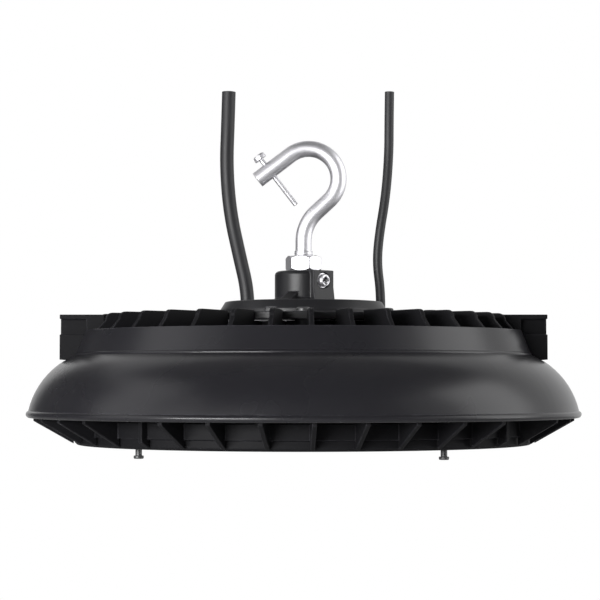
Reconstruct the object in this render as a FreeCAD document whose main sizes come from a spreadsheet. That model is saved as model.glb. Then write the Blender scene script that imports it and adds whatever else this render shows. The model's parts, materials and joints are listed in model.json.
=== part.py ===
"""Round high bay light, hung from a closed hook: parametric FreeCAD model in millimetres.

The light stands in its own frame with +Z up. The origin is on the light's axis, in the plane of
the four small stud heads under the lens frame. +X runs through the two side lugs.
"""
import FreeCAD, Part
import math
import os
import re

import Sketcher

V = FreeCAD.Vector

# Every size that can be set by itself, in millimetres, degrees or pieces.
SIZES = {
    # shroud: upper band, skirt and rim
    "rim_radius": 152.5,
    "rim_height": 20.2,
    "bead_bulge": 1.3,
    "bead_width": 3.4,
    "bead_height": 3.6,
    "skirt_bulge": 9.1,
    "skirt_mid_height": 40.6,
    "shoulder_radius": 126.0,
    "shoulder_height": 54.2,
    "band_top_radius": 121.0,
    "band_top_height": 67.5,
    "shroud_wall": 2.0,
    "shroud_gap": 0.5,
    "tab_width": 10.0,
    "tab_reach": 19.5,
    "tab_thickness": 2.6,
    "tab_height": 27.0,
    "post_radius": 4.2,
    "post_inset": 14.5,
    "post_length": 8.5,
    "post_fin_step": 9,
    "shroud_screw_count": 4,
    "shroud_screw_depth": 7.0,
    # heat sink: base plate, driver can, fins and side lugs
    "plate_margin": 2.0,
    "plate_thickness": 8.1,
    "board_recess": 3.4,
    "recess_radius": 98.0,
    "can_radius": 70.0,
    "can_wall": 3.8,
    "can_top": 71.0,
    "fin_count": 36,
    "fin_thickness": 2.4,
    "fin_lead_angle": 2.0,
    "fin_top_height": 76.5,
    "fin_top_radius": 114.0,
    "fin_corner": 4.0,
    "fin_foot_height": 18.6,
    "fin_tip_rise": 0.8,
    "frame_gap": 1.0,
    "cover_gap": 1.0,
    "lug_face": 132.0,
    "lug_width": 55.0,
    "lug_bottom": 51.6,
    "lug_top": 76.0,
    "lug_root": 108.0,
    "lug_recess_depth": 5.0,
    "lug_recess_low": 65.2,
    "lug_recess_high": 73.6,
    "lug_recess_root": 117.5,
    "lug_hole_radius": 3.4,
    "lug_hole_depth": 16.0,
    "lug_hole_height": 60.0,
    "lug_gap": 0.8,
    # driver cover with its platform and hook boss
    "cover_radius": 84.0,
    "cover_thickness": 4.0,
    "cover_gasket_height": 0.8,
    "cover_gasket_width": 2.8,
    "cover_screw_circle": 78.0,
    "cover_screw_count": 6,
    "cover_screw_angle": 30.0,
    "cover_screw_depth": 10.0,
    "cover_boss_radius": 4.5,
    "platform_low_radius": 46.5,
    "platform_top_radius": 43.5,
    "platform_skirt": 3.2,
    "platform_rise": 4.8,
    "boss_radius": 16.0,
    "boss_height": 17.2,
    "boss_round": 2.5,
    "pad_angle": -48.0,
    "pad_face": 16.6,
    "pad_width": 15.0,
    "pad_foot": 1.2,
    "pad_foot_height": 8.0,
    "rib_angle": -112.0,
    "rib_thickness": 6.0,
    "rib_height": 5.5,
    "rib_sag_radius": 26.0,
    "rib_sag_height": 1.3,
    # hook, its lock nut and its screws
    "rod_radius": 4.5,
    "thread_radius": 5.0,
    "thread_engagement": 19.0,
    "thread_show": 3.0,
    "bore_floor_gap": 1.0,
    "hook_rise": 51.8,
    "hook_offset": 2.8,
    "hook_radius": 16.7,
    "neck_angle": 43.0,
    "neck_radius": 22.0,
    "arm_slope": 37.5,
    "arm_length": 23.0,
    "nut_flats": 18.0,
    "nut_height": 8.4,
    "nut_chamfer": 1.2,
    "keeper_radius": 1.5,
    "keeper_setback": 8.5,
    "keeper_neck": 1.2,
    "keeper_length": 32.1,
    "keeper_head_radius": 3.6,
    "keeper_head_height": 2.9,
    "set_screw_drop": 5.7,
    "set_screw_radius": 2.0,
    "set_head_radius": 3.5,
    "set_head_height": 2.6,
    "set_washer_radius": 4.1,
    "set_washer_thickness": 0.8,
    "set_recess_gap": 0.3,
    "set_recess_depth": 1.6,
    # light engine: driver, board, chips, lens and its frame
    "driver_plate_radius": 67.5,
    "driver_plate_thickness": 2.0,
    "driver_radius": 58.0,
    "driver_height": 38.0,
    "driver_round": 3.0,
    "driver_screw_circle": 63.0,
    "driver_screw_count": 3,
    "driver_screw_depth": 4.0,
    "pad_thickness": 0.4,
    "board_thickness": 1.5,
    "board_radius": 96.0,
    "board_screw_circle": 91.0,
    "board_screw_count": 6,
    "board_screw_depth": 4.0,
    "chip_side": 3.5,
    "chip_height": 0.7,
    "first_ring": 22.0,
    "ring_step": 20.0,
    "ring_share": 6,
    "dome_radius": 6.0,
    "dome_height": 2.4,
    "lens_thickness": 2.0,
    "lens_radius": 104.0,
    "lens_gap": 0.4,
    "lens_gasket_height": 0.8,
    "lens_gasket_width": 4.5,
    "lens_frame_radius": 126.0,
    "window_radius": 99.0,
    "frame_lip": 2.6,
    "frame_screw_circle": 116.0,
    "frame_screw_count": 8,
    "frame_screw_angle": 15.0,
    "frame_screw_depth": 6.5,
    "stud_circle": 111.0,
    "stud_count": 4,
    "stud_angle": 40.0,
    "stud_drop": 5.5,
    "stud_radius": 1.7,
    "stud_head_radius": 2.6,
    "stud_head_height": 1.6,
    "stud_depth": 6.0,
    "lead_hole_place": 32.0,
    "lead_radius": 2.2,
    "lead_clearance": 0.4,
    # small screws and the fit of holes round them
    "small_screw_radius": 2.0,
    "small_head_radius": 3.7,
    "small_head_height": 2.2,
    "fine_screw_radius": 1.5,
    "fine_head_radius": 2.6,
    "fine_head_height": 1.6,
    "screw_clearance": 0.3,
    "tapped_spare": 0.8,
    # cable glands and cords
    "power_gland_x": -32.6,
    "power_gland_y": 50.0,
    "dimming_gland_x": 44.4,
    "dimming_gland_y": 37.0,
    "gland_thread_radius": 6.0,
    "gland_flange_height": 3.0,
    "gland_flange_flats": 16.0,
    "gland_cap_radius": 7.4,
    "gland_cap_height": 3.2,
    "gland_tail": 5.8,
    "gland_nut_height": 2.8,
    "gland_nut_flats": 15.0,
    "power_cord_radius": 4.0,
    "dimming_cord_radius": 2.7,
}

# Sizes that follow from the ones above.
DERIVED = {
    "skirt_mid_radius": "rim_radius - skirt_bulge",
    "lens_bottom": "stud_drop + frame_lip",
    "lens_top": "lens_bottom + lens_thickness",
    "plate_bottom": "lens_top + lens_gasket_height",
    "recess_top": "plate_bottom + board_recess",
    "board_top": "recess_top - pad_thickness",
    "board_bottom": "board_top - board_thickness",
    "plate_top": "plate_bottom + plate_thickness",
    "plate_radius": "lens_frame_radius + plate_margin",
    "can_outer": "can_radius + can_wall",
    "driver_bottom": "plate_top + driver_plate_thickness",
    "driver_top": "driver_bottom + driver_height",
    "cover_bottom": "can_top + cover_gasket_height",
    "cover_top": "cover_bottom + cover_thickness",
    "platform_low": "cover_top + platform_skirt",
    "platform_top": "platform_low + platform_rise",
    "boss_top": "platform_top + boss_height",
    "set_screw_height": "boss_top - set_screw_drop",
    "set_seat": "pad_face - set_recess_depth",
    "nut_top": "boss_top + nut_height",
    "gland_bottom": "cover_bottom - gland_tail",
    "gland_flange_top": "cover_top + gland_flange_height",
    "gland_top": "gland_flange_top + gland_cap_height",
    "fin_inset": "shroud_wall + shroud_gap",
    "fin_reach": "rim_radius - bead_width - shroud_gap",
    "fin_root": "lens_frame_radius + frame_gap",
    "fin_tip": "stud_drop + fin_tip_rise",
    "bead_inner": "rim_radius - bead_width",
    "bead_top": "rim_height + bead_height",
    "post_circle": "rim_radius - post_inset",
    "tab_bottom": "tab_height - tab_thickness",
    "dome_sphere": "(dome_radius^2 + dome_height^2) / (2 * dome_height)",
    "dome_half_drop": "sqrt(dome_sphere^2 - dome_radius^2 / 4) - dome_sphere + dome_height",
    "fin_pitch": "360 / fin_count",
    "post_angle": "fin_lead_angle + 5 * fin_pitch",
    "post_span": "post_fin_step * (shroud_screw_count - 1) * fin_pitch",
}

# Routes of the two free cords, from the gland upwards to the square-cut end.
POWER_ROUTE = [
    (-32.6, 50.0, 82.0),
    (-32.6, 50.0, 92.5),
    (-37.3, 49.8, 112.5),
    (-42.9, 49.2, 138.0),
    (-45.1, 48.5, 165.0),
    (-44.2, 48.0, 190.0),
    (-43.7, 48.2, 209.0),
]
DIMMING_ROUTE = [
    (44.4, 37.0, 82.0),
    (44.4, 37.0, 92.0),
    (42.3, 37.0, 108.0),
    (43.6, 36.5, 124.0),
    (47.5, 36.0, 147.0),
    (49.3, 35.5, 171.0),
    (49.4, 35.3, 190.0),
    (49.7, 35.6, 207.0),
]
ARC_SHARE = 0.45

doc = FreeCAD.newDocument("HighBayLight")
sheet = doc.addObject("Spreadsheet::Sheet", "Sizes")
for row, (size_name, size) in enumerate(SIZES.items(), 1):
    sheet.set("A%d" % row, str(size))
    sheet.setAlias("A%d" % row, size_name)
doc.recompute()

parts = []


# ---------------------------------------------------------------- sizes and sketches

def linked(text):
    """Expression text in which each size name points at its cell of the sheet."""
    def spell(match):
        word = match.group(0)
        if word in DERIVED:
            return "(" + linked(DERIVED[word]) + ")"
        return "Sizes." + word if word in SIZES else word
    return re.sub(r"[a-z][a-z_]*", spell, text)


def number(text):
    """Value of an expression written with size names."""
    return float(sheet.evalExpression(linked(text)))


def plane(body, role):
    """One of a body's own origin planes or axes."""
    return [item for item in body.Origin.OriginFeatures if item.Role == role][0]


def new_body(label):
    """A body that becomes one node of the light."""
    body = doc.addObject("PartDesign::Body", label)
    body.Label = label
    parts.append(body)
    return body


def new_sketch(body, name, role, rise="0", turn="0", shift="0"):
    """Sketch in an origin plane, raised along Z, turned about Z and shifted across."""
    sketch = body.newObject("Sketcher::SketchObject", name)
    sketch.AttachmentSupport = (plane(body, role), [""])
    sketch.MapMode = "FlatFace"
    flat = role == "XY_Plane"
    upright = V(0, 0, 1) if flat else V(0, 1, 0)
    offset = V(number(shift), 0, number(rise)) if flat else V(number(shift), number(rise), 0)
    sketch.AttachmentOffset = FreeCAD.Placement(offset, FreeCAD.Rotation(upright, number(turn)))
    sketch.setExpression("AttachmentOffset.Base.z" if flat else "AttachmentOffset.Base.y", linked(rise))
    sketch.setExpression("AttachmentOffset.Base.x", linked(shift))
    if turn != "0":
        sketch.setExpression("AttachmentOffset.Rotation.Angle", linked(turn))
    return sketch


def fix_point(sketch, index, spot, across, up):
    """Hold one point of the sketch at two coordinates taken from the sheet."""
    for kind, text in (("DistanceX", across), ("DistanceY", up)):
        held = sketch.addConstraint(Sketcher.Constraint(kind, -1, 1, index, spot, number(text)))
        sketch.setExpression("Constraints[%d]" % held, linked(text))


def arc_between(start, through, end):
    """Arc by three points for a sketch, and which of its ends the start is."""
    circle = Part.Circle(start, through, end)
    centre = circle.Center
    turn = (through - start).cross(end - through).z
    first, last = (start, end) if turn > 0 else (end, start)
    low = math.atan2(first.y - centre.y, first.x - centre.x)
    high = math.atan2(last.y - centre.y, last.x - centre.x)
    if high < low:
        high += 2 * math.pi
    upright = Part.Circle(centre, V(0, 0, 1), circle.Radius)
    return Part.ArcOfCircle(upright, low, high), (1, 2) if turn > 0 else (2, 1)


def outline(sketch, steps):
    """Closed outline. A step is a corner (across, up); with two more texts it is reached by an
    arc that passes through them."""
    spots = [V(number(step[0]), number(step[1]), 0) for step in steps]
    pieces = []
    for place, step in enumerate(steps):
        start = spots[place - 1]
        end = spots[place]
        if len(step) == 2:
            pieces.append((sketch.addGeometry(Part.LineSegment(start, end)), (1, 2)))
            continue
        through = V(number(step[2]), number(step[3]), 0)
        arc, ends = arc_between(start, through, end)
        index = sketch.addGeometry(arc)
        pieces.append((index, ends))
        point = sketch.addGeometry(Part.Point(through), True)
        sketch.addConstraint(Sketcher.Constraint("PointOnObject", point, 1, index))
        fix_point(sketch, point, 1, step[2], step[3])
    for place, step in enumerate(steps):
        index, ends = pieces[place]
        following, next_ends = pieces[(place + 1) % len(pieces)]
        sketch.addConstraint(Sketcher.Constraint("Coincident", index, ends[1], following, next_ends[0]))
        fix_point(sketch, index, ends[1], step[0], step[1])


def ring_of(sketch, radius, across="0", up="0"):
    """Circle in a sketch."""
    index = sketch.addGeometry(Part.Circle(V(number(across), number(up), 0), V(0, 0, 1), number(radius)))
    fix_point(sketch, index, 3, across, up)
    held = sketch.addConstraint(Sketcher.Constraint("Radius", index, number(radius)))
    sketch.setExpression("Constraints[%d]" % held, linked(radius))


def box_of(sketch, left, right, low, high):
    """Rectangle in a sketch."""
    outline(sketch, [(left, low), (right, low), (right, high), (left, high)])


# ---------------------------------------------------------------- features

def turned(body, name, sketch, cut=False, axis=None):
    """Revolve a sketch about the light's axis, or about one of the sketch's own axes."""
    feature = body.newObject("PartDesign::Groove" if cut else "PartDesign::Revolution", name)
    feature.Profile = sketch
    feature.ReferenceAxis = (sketch, [axis]) if axis else (plane(body, "Z_Axis"), [""])
    feature.Angle = 360
    body.Tip = feature
    return feature


def raised(body, name, sketch, length, both_ways=False):
    """Pad along the sketch's normal, or to both sides of it."""
    feature = body.newObject("PartDesign::Pad", name)
    feature.Profile = sketch
    feature.setExpression("Length", linked(length))
    if both_ways:
        feature.SideType = "Symmetric"
    body.Tip = feature
    return feature


def sunk(body, name, sketch, length, upwards=False, both_ways=False):
    """Pocket of a given depth, downwards unless told otherwise."""
    feature = body.newObject("PartDesign::Pocket", name)
    feature.Profile = sketch
    feature.setExpression("Length", linked(length))
    feature.Reversed = upwards
    if both_ways:
        feature.SideType = "Symmetric"
    body.Tip = feature
    return feature


def around(body, name, feature, count, span="360"):
    """Repeat a feature about the light's axis."""
    pattern = body.newObject("PartDesign::PolarPattern", name)
    pattern.Originals = [feature]
    pattern.Axis = (plane(body, "Z_Axis"), [""])
    pattern.setExpression("Angle", linked(span))
    pattern.setExpression("Occurrences", linked(count))
    body.Tip = pattern
    return pattern


def holes_around(body, name, radius, circle, count, start, depth, height, upwards=False, span="360"):
    """Ring of round holes, sunk from a given height."""
    sketch = new_sketch(body, name + "_sketch", "XY_Plane", rise=height, turn=start)
    ring_of(sketch, radius, circle)
    hole = sunk(body, name, sketch, depth, upwards)
    return around(body, name + "_ring", hole, count, span)


def flat_ring(label, outer, inner, low, height):
    """Flat ring cut from two cylinders."""
    disc = doc.addObject("Part::Cylinder", label + "_outside")
    hole = doc.addObject("Part::Cylinder", label + "_inside")
    for cylinder, radius in ((disc, outer), (hole, inner)):
        cylinder.setExpression("Radius", linked(radius))
        cylinder.setExpression("Height", linked(height))
        cylinder.setExpression("Placement.Base.z", linked(low))
    ring = doc.addObject("Part::Cut", label)
    ring.Base = disc
    ring.Tool = hole
    ring.Label = label
    parts.append(ring)
    return ring


def shaped(label, shape, placement=None):
    """Node whose shape is worked out in code from the sheet's values."""
    feature = doc.addObject("Part::Feature", label)
    feature.Label = label
    feature.Shape = shape
    feature.Placement = placement or FreeCAD.Placement()
    parts.append(feature)
    return feature


def hexagon(sketch, flats):
    """Hexagon across its flats, with two flats square to X."""
    half = "%s / 2" % flats
    slope = "%s / 2 * sqrt(3) / 3" % flats
    tip = "%s * sqrt(3) / 3" % flats
    outline(sketch, [
        (half, slope), ("0", tip), ("-" + half, slope),
        ("-" + half, "-" + slope), ("0", "-" + tip), (half, "-" + slope),
    ])


# ---------------------------------------------------------------- screws

def screw(head_radius, head_height, shank_radius, shank_length, socket_radius):
    """Pan-head screw along +Z: underside of the head at z = 0, shank below it."""
    head = Part.makeCylinder(head_radius, head_height)
    rim = head.Edges[0] if head.Edges[0].CenterOfMass.z > 0 else head.Edges[2]
    head = head.makeFillet(head_height * 0.4, [rim])
    socket = Part.makeCylinder(socket_radius, head_height * 0.55, V(0, 0, head_height * 0.45))
    shank = Part.makeCylinder(shank_radius, shank_length, V(0, 0, -shank_length))
    return head.cut(socket).fuse(shank).removeSplitter()


def ring_places(circle, count, start, span=360.0):
    """Points of a bolt circle."""
    step = span / count if span == 360.0 else span / (count - 1)
    angles = [math.radians(start + step * place) for place in range(count)]
    return [V(circle * math.cos(angle), circle * math.sin(angle), 0) for angle in angles]


def screw_group(label, model, places, height, head_down=False):
    """Identical screws, as separate solids of one node."""
    flip = FreeCAD.Rotation(V(1, 0, 0), 180 if head_down else 0)
    copies = []
    for place in places:
        copy = model.copy()
        copy.Placement = FreeCAD.Placement(V(place.x, place.y, height), flip)
        copies.append(copy)
    return shaped(label, Part.makeCompound(copies))


# ---------------------------------------------------------------- cords and rods

def cord_tube(points, radius, name):
    """Tube of straight runs joined by tangent arcs, each as large as its two runs allow."""
    edges = []
    here = points[0]
    length = 0.0
    radii = []
    for before, corner, after in zip(points, points[1:], points[2:]):
        arriving = (corner - before).normalize()
        leaving = (after - corner).normalize()
        half_turn = arriving.getAngle(leaving) / 2
        cut = ARC_SHARE * min((corner - before).Length, (after - corner).Length)
        bend = cut / math.tan(half_turn)
        radii.append(bend)
        start = corner - arriving * cut
        end = corner + leaving * cut
        inward = (leaving - arriving).normalize()
        middle = corner + inward * (bend / math.cos(half_turn) - bend)
        edges.append(Part.LineSegment(here, start).toShape())
        edges.append(Part.Arc(start, middle, end).toShape())
        here = end
    edges.append(Part.LineSegment(here, points[-1]).toShape())
    length = sum(edge.Length for edge in edges)
    direction = (points[1] - points[0]).normalize()
    section = Part.Wire(Part.makeCircle(radius, points[0], direction))
    tube = Part.Wire(edges).makePipeShell([section], True, False)
    expected = math.pi * radius ** 2 * length
    print("%s: length %.1f, radii %s, volume ratio %.4f" % (
        name, length, ["%.0f" % bend for bend in radii], tube.Volume / expected))
    return tube


def swept_rod(edges, radius, start, direction):
    """Round rod along a chain of tangent edges."""
    section = Part.Wire(Part.makeCircle(radius, start, direction))
    return Part.Wire(edges).makePipeShell([section], True, False)


# ---------------------------------------------------------------- heat sink casting

def make_heat_sink():
    """Finned casting: base plate, driver can, fins, cover bosses, shroud posts and side lugs."""
    body = new_body("heat_sink")
    core = new_sketch(body, "sink_core_sketch", "XZ_Plane")
    outline(core, [
        ("0", "recess_top"), ("recess_radius", "recess_top"), ("recess_radius", "plate_bottom"),
        ("plate_radius", "plate_bottom"), ("plate_radius", "plate_top"), ("can_outer", "plate_top"),
        ("can_outer", "can_top"), ("can_radius", "can_top"), ("can_radius", "plate_top"), ("0", "plate_top"),
    ])
    turned(body, "sink_core", core)

    fin_sketch = new_sketch(body, "fin_sketch", "XZ_Plane", turn="fin_lead_angle")
    outline(fin_sketch, [
        ("fin_root", "fin_tip"),
        ("fin_reach", "fin_foot_height"),
        ("fin_reach", "bead_top + shroud_gap"),
        ("shoulder_radius - fin_inset", "shoulder_height - fin_inset",
         "skirt_mid_radius - 0.86 * fin_inset", "skirt_mid_height - 0.6 * fin_inset"),
        ("band_top_radius - fin_inset", "band_top_height"),
        ("fin_top_radius", "fin_top_height - fin_corner"),
        ("fin_top_radius - fin_corner", "fin_top_height",
         "fin_top_radius - fin_corner * 0.293", "fin_top_height - fin_corner * 0.293"),
        ("cover_radius + cover_gap", "fin_top_height"),
        ("cover_radius + cover_gap", "can_top"),
        ("can_radius + can_wall / 2", "can_top"),
        ("can_radius + can_wall / 2", "plate_top - 1"),
        ("fin_root", "plate_top - 1"),
    ])
    fin = raised(body, "fin", fin_sketch, "fin_thickness", both_ways=True)
    around(body, "fins", fin, "fin_count")

    boss_sketch = new_sketch(body, "cover_boss_sketch", "XY_Plane", rise="plate_top", turn="cover_screw_angle")
    ring_of(boss_sketch, "cover_boss_radius", "cover_screw_circle")
    boss = raised(body, "cover_boss", boss_sketch, "cover_bottom - plate_top")
    around(body, "cover_bosses", boss, "cover_screw_count")

    slot_sketch = new_sketch(body, "tab_slot_sketch", "XZ_Plane", turn="post_angle")
    box_of(slot_sketch, "rim_radius - tab_reach - shroud_gap", "rim_radius + 1", "0", "tab_height")
    slot = sunk(body, "tab_slot", slot_sketch, "tab_width + 2 * shroud_gap", both_ways=True)
    around(body, "tab_slots", slot, "shroud_screw_count", "post_span")
    post_sketch = new_sketch(body, "shroud_post_sketch", "XY_Plane", rise="tab_height", turn="post_angle")
    ring_of(post_sketch, "post_radius", "post_circle")
    post = raised(body, "shroud_post", post_sketch, "post_length")
    around(body, "shroud_posts", post, "shroud_screw_count", "post_span")

    lug_sketch = new_sketch(body, "lug_sketch", "XZ_Plane")
    box_of(lug_sketch, "lug_root", "lug_face", "lug_bottom", "lug_top")
    lug = raised(body, "lug", lug_sketch, "lug_width", both_ways=True)
    around(body, "lugs", lug, "2")
    for side in ("front", "back"):
        sign = "-" if side == "front" else ""
        near = sign + "(lug_width / 2 - lug_recess_depth)"
        far = sign + "(lug_width / 2 + 1)"
        recess_sketch = new_sketch(body, side + "_recess_sketch", "XY_Plane", rise="lug_recess_low")
        box_of(recess_sketch, "lug_recess_root", "lug_face + 1", near, far)
        recess = sunk(body, side + "_recess", recess_sketch, "lug_recess_high - lug_recess_low", upwards=True)
        around(body, side + "_recesses", recess, "2")
    thread_sketch = new_sketch(body, "lug_thread_sketch", "XZ_Plane", rise="lug_hole_height")
    box_of(thread_sketch, "lug_face - lug_hole_depth", "lug_face + 1", "0", "lug_hole_radius")
    thread = turned(body, "lug_thread", thread_sketch, cut=True, axis="H_Axis")
    around(body, "lug_threads", thread, "2")

    holes_around(body, "cover_tap", "small_screw_radius", "cover_screw_circle", "cover_screw_count",
                 "cover_screw_angle", "cover_screw_depth", "cover_bottom")
    holes_around(body, "driver_tap", "small_screw_radius", "driver_screw_circle", "driver_screw_count",
                 "0", "driver_screw_depth", "plate_top")
    holes_around(body, "frame_tap", "small_screw_radius", "frame_screw_circle", "frame_screw_count",
                 "frame_screw_angle", "frame_screw_depth", "plate_bottom", upwards=True)
    holes_around(body, "stud_tap", "stud_radius", "stud_circle", "stud_count",
                 "stud_angle", "stud_depth", "plate_bottom", upwards=True)
    holes_around(body, "board_tap", "fine_screw_radius", "board_screw_circle", "board_screw_count",
                 "0", "board_screw_depth", "recess_top", upwards=True)
    holes_around(body, "shroud_tap", "fine_screw_radius", "post_circle", "shroud_screw_count",
                 "post_angle", "shroud_screw_depth", "tab_height", upwards=True, span="post_span")
    lead_sketch = new_sketch(body, "lead_hole_sketch", "XY_Plane", rise="recess_top")
    ring_of(lead_sketch, "lead_radius + lead_clearance", "lead_hole_place")
    sunk(body, "lead_hole", lead_sketch, "plate_thickness", upwards=True)
    return body


# ---------------------------------------------------------------- shroud

def make_shroud():
    """Ring round the fins: upper band, flared skirt and rolled rim, notched for the side lugs."""
    body = new_body("shroud")
    section = new_sketch(body, "shroud_section", "XZ_Plane")
    outline(section, [
        ("band_top_radius - shroud_wall", "band_top_height"),
        ("band_top_radius", "band_top_height"),
        ("shoulder_radius", "shoulder_height"),
        ("rim_radius - bead_bulge", "bead_top", "skirt_mid_radius", "skirt_mid_height"),
        ("rim_radius - bead_bulge", "rim_height", "rim_radius", "rim_height + bead_height / 2"),
        ("bead_inner", "rim_height"),
        ("bead_inner", "bead_top"),
        ("shoulder_radius - shroud_wall", "shoulder_height - shroud_wall",
         "skirt_mid_radius - 0.86 * shroud_wall", "skirt_mid_height - 0.6 * shroud_wall"),
    ])
    turned(body, "shroud_ring", section)
    notch_sketch = new_sketch(body, "notch_sketch", "YZ_Plane")
    box_of(notch_sketch, "-(lug_width / 2 + lug_gap)", "lug_width / 2 + lug_gap",
           "lug_bottom - lug_gap", "band_top_height + 1")
    sunk(body, "notches", notch_sketch, "2 * rim_radius + 10", both_ways=True)
    tab_sketch = new_sketch(body, "tab_sketch", "XZ_Plane", turn="post_angle")
    box_of(tab_sketch, "rim_radius - tab_reach", "rim_radius - shroud_wall * 1.4", "tab_bottom", "tab_height")
    tab = raised(body, "tab", tab_sketch, "tab_width", both_ways=True)
    around(body, "tabs", tab, "shroud_screw_count", "post_span")
    holes_around(body, "tab_hole", "fine_screw_radius + screw_clearance", "post_circle",
                 "shroud_screw_count", "post_angle", "tab_thickness + 2", "tab_bottom - 1",
                 upwards=True, span="post_span")
    return body


# ---------------------------------------------------------------- driver cover

def make_driver_cover():
    """Cover casting: disc, conical platform and the split hook boss with its set-screw pad."""
    body = new_body("driver_cover")
    section = new_sketch(body, "cover_section", "XZ_Plane")
    outline(section, [
        ("0", "cover_bottom"),
        ("cover_radius", "cover_bottom"),
        ("cover_radius", "cover_top"),
        ("platform_low_radius", "cover_top"),
        ("platform_low_radius", "platform_low"),
        ("platform_top_radius", "platform_top"),
        ("boss_radius", "platform_top"),
        ("boss_radius", "boss_top - boss_round"),
        ("boss_radius - boss_round", "boss_top",
         "boss_radius - 0.293 * boss_round", "boss_top - 0.293 * boss_round"),
        ("0", "boss_top"),
    ])
    turned(body, "cover_turned", section)

    pad_sketch = new_sketch(body, "screw_pad_sketch", "XZ_Plane", turn="pad_angle")
    outline(pad_sketch, [
        ("0", "platform_top - 1"),
        ("pad_face + pad_foot", "platform_top - 1"),
        ("pad_face + pad_foot", "platform_top"),
        ("pad_face", "platform_top + pad_foot_height"),
        ("pad_face", "boss_top"),
        ("0", "boss_top"),
    ])
    raised(body, "screw_pad", pad_sketch, "pad_width", both_ways=True)

    rib_sketch = new_sketch(body, "rib_sketch", "XZ_Plane", turn="rib_angle")
    outline(rib_sketch, [
        ("boss_radius / 2", "cover_top + 1"),
        ("platform_low_radius", "cover_top + 1"),
        ("platform_low_radius", "platform_low + 0.5"),
        ("boss_radius - 1", "platform_top + rib_height", "rib_sag_radius", "platform_top + rib_sag_height"),
        ("boss_radius / 2", "platform_top + rib_height"),
    ])
    rib = raised(body, "rib", rib_sketch, "rib_thickness", both_ways=True)
    around(body, "ribs", rib, "2")

    bore_sketch = new_sketch(body, "hook_bore_sketch", "XY_Plane", rise="boss_top")
    ring_of(bore_sketch, "thread_radius")
    sunk(body, "hook_bore", bore_sketch, "thread_engagement + bore_floor_gap")

    set_sketch = new_sketch(body, "set_screw_sketch", "XZ_Plane", rise="set_screw_height", turn="pad_angle")
    outline(set_sketch, [
        ("thread_radius - 1", "0"),
        ("thread_radius - 1", "set_screw_radius"),
        ("set_seat", "set_screw_radius"),
        ("set_seat", "set_washer_radius + set_recess_gap"),
        ("pad_face + pad_foot + 1", "set_washer_radius + set_recess_gap"),
        ("pad_face + pad_foot + 1", "0"),
    ])
    turned(body, "set_screw_hole", set_sketch, cut=True, axis="H_Axis")

    holes_around(body, "cover_hole", "small_screw_radius + screw_clearance", "cover_screw_circle",
                 "cover_screw_count", "cover_screw_angle", "cover_thickness + 2", "cover_top + 1")
    for cord in ("power", "dimming"):
        gland_sketch = new_sketch(body, cord + "_hole_sketch", "XY_Plane", rise="cover_top + 1")
        ring_of(gland_sketch, "gland_thread_radius", cord + "_gland_x", cord + "_gland_y")
        sunk(body, cord + "_hole", gland_sketch, "cover_thickness + 2")
    return body


# ---------------------------------------------------------------- hook and its fasteners

def hook_points():
    """Key points of the hook's centre line in the XZ plane."""
    neck = math.radians(number("neck_angle"))
    slope = math.radians(number("arm_slope"))
    bend = number("hook_radius")
    neck_bend = number("neck_radius")
    centre = V(number("hook_offset"), 0, number("boss_top + hook_rise"))
    heel = neck - math.pi / 2
    crown_start = centre + V(math.cos(heel), 0, math.sin(heel)) * bend
    along_neck = V(math.cos(neck), 0, math.sin(neck))
    corner = crown_start - along_neck * (crown_start.x / math.cos(neck))
    setback = neck_bend * math.tan((math.pi / 2 - neck) / 2)
    neck_start = corner - V(0, 0, setback)
    neck_end = corner + along_neck * setback
    neck_centre = neck_start + V(neck_bend, 0, 0)
    neck_way = (corner - neck_centre).normalize()
    crown = math.pi / 2 + slope
    crown_middle = (heel + crown) / 2
    crown_end = centre + V(math.cos(crown), 0, math.sin(crown)) * bend
    arm = V(-math.cos(slope), 0, -math.sin(slope))
    return {
        "neck_start": neck_start,
        "neck_middle": neck_centre + neck_way * neck_bend,
        "neck_end": neck_end,
        "crown_start": crown_start,
        "crown_middle": centre + V(math.cos(crown_middle), 0, math.sin(crown_middle)) * bend,
        "crown_end": crown_end,
        "arm": arm,
        "tip": crown_end + arm * number("arm_length"),
    }


def keeper_frame():
    """Where the keeper screw crosses the hook's arm, and its direction from head to point."""
    points = hook_points()
    crossing = points["tip"] - points["arm"] * number("keeper_setback")
    return crossing, V(-points["arm"].z, 0, points["arm"].x)


def make_hook():
    """Bent rod with a threaded shank, drilled near its tip for the keeper screw."""
    points = hook_points()
    foot = V(0, 0, number("boss_top - thread_engagement"))
    edges = [
        Part.LineSegment(foot, points["neck_start"]).toShape(),
        Part.Arc(points["neck_start"], points["neck_middle"], points["neck_end"]).toShape(),
        Part.LineSegment(points["neck_end"], points["crown_start"]).toShape(),
        Part.Arc(points["crown_start"], points["crown_middle"], points["crown_end"]).toShape(),
        Part.LineSegment(points["crown_end"], points["tip"]).toShape(),
    ]
    rod = swept_rod(edges, number("rod_radius"), foot, V(0, 0, 1))
    thread_length = number("thread_engagement + nut_height + thread_show")
    thread = Part.makeCylinder(number("thread_radius"), thread_length, foot)
    crossing, way = keeper_frame()
    reach = number("rod_radius") + 2
    drill = Part.makeCylinder(number("keeper_radius"), 2 * reach, crossing - way * reach, way)
    shaped("hook", rod.fuse(thread).removeSplitter().cut(drill))


def make_keeper_screw():
    """Long thin screw through the hook's arm, which closes the mouth of the hook."""
    crossing, way = keeper_frame()
    model = screw(number("keeper_head_radius"), number("keeper_head_height"), number("keeper_radius"),
                  number("keeper_length"), number("keeper_radius"))
    head_seat = crossing - way * number("rod_radius + keeper_neck")
    shaped("hook_keeper_screw", model,
           FreeCAD.Placement(head_seat, FreeCAD.Rotation(V(0, 0, -1), way)))


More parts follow.
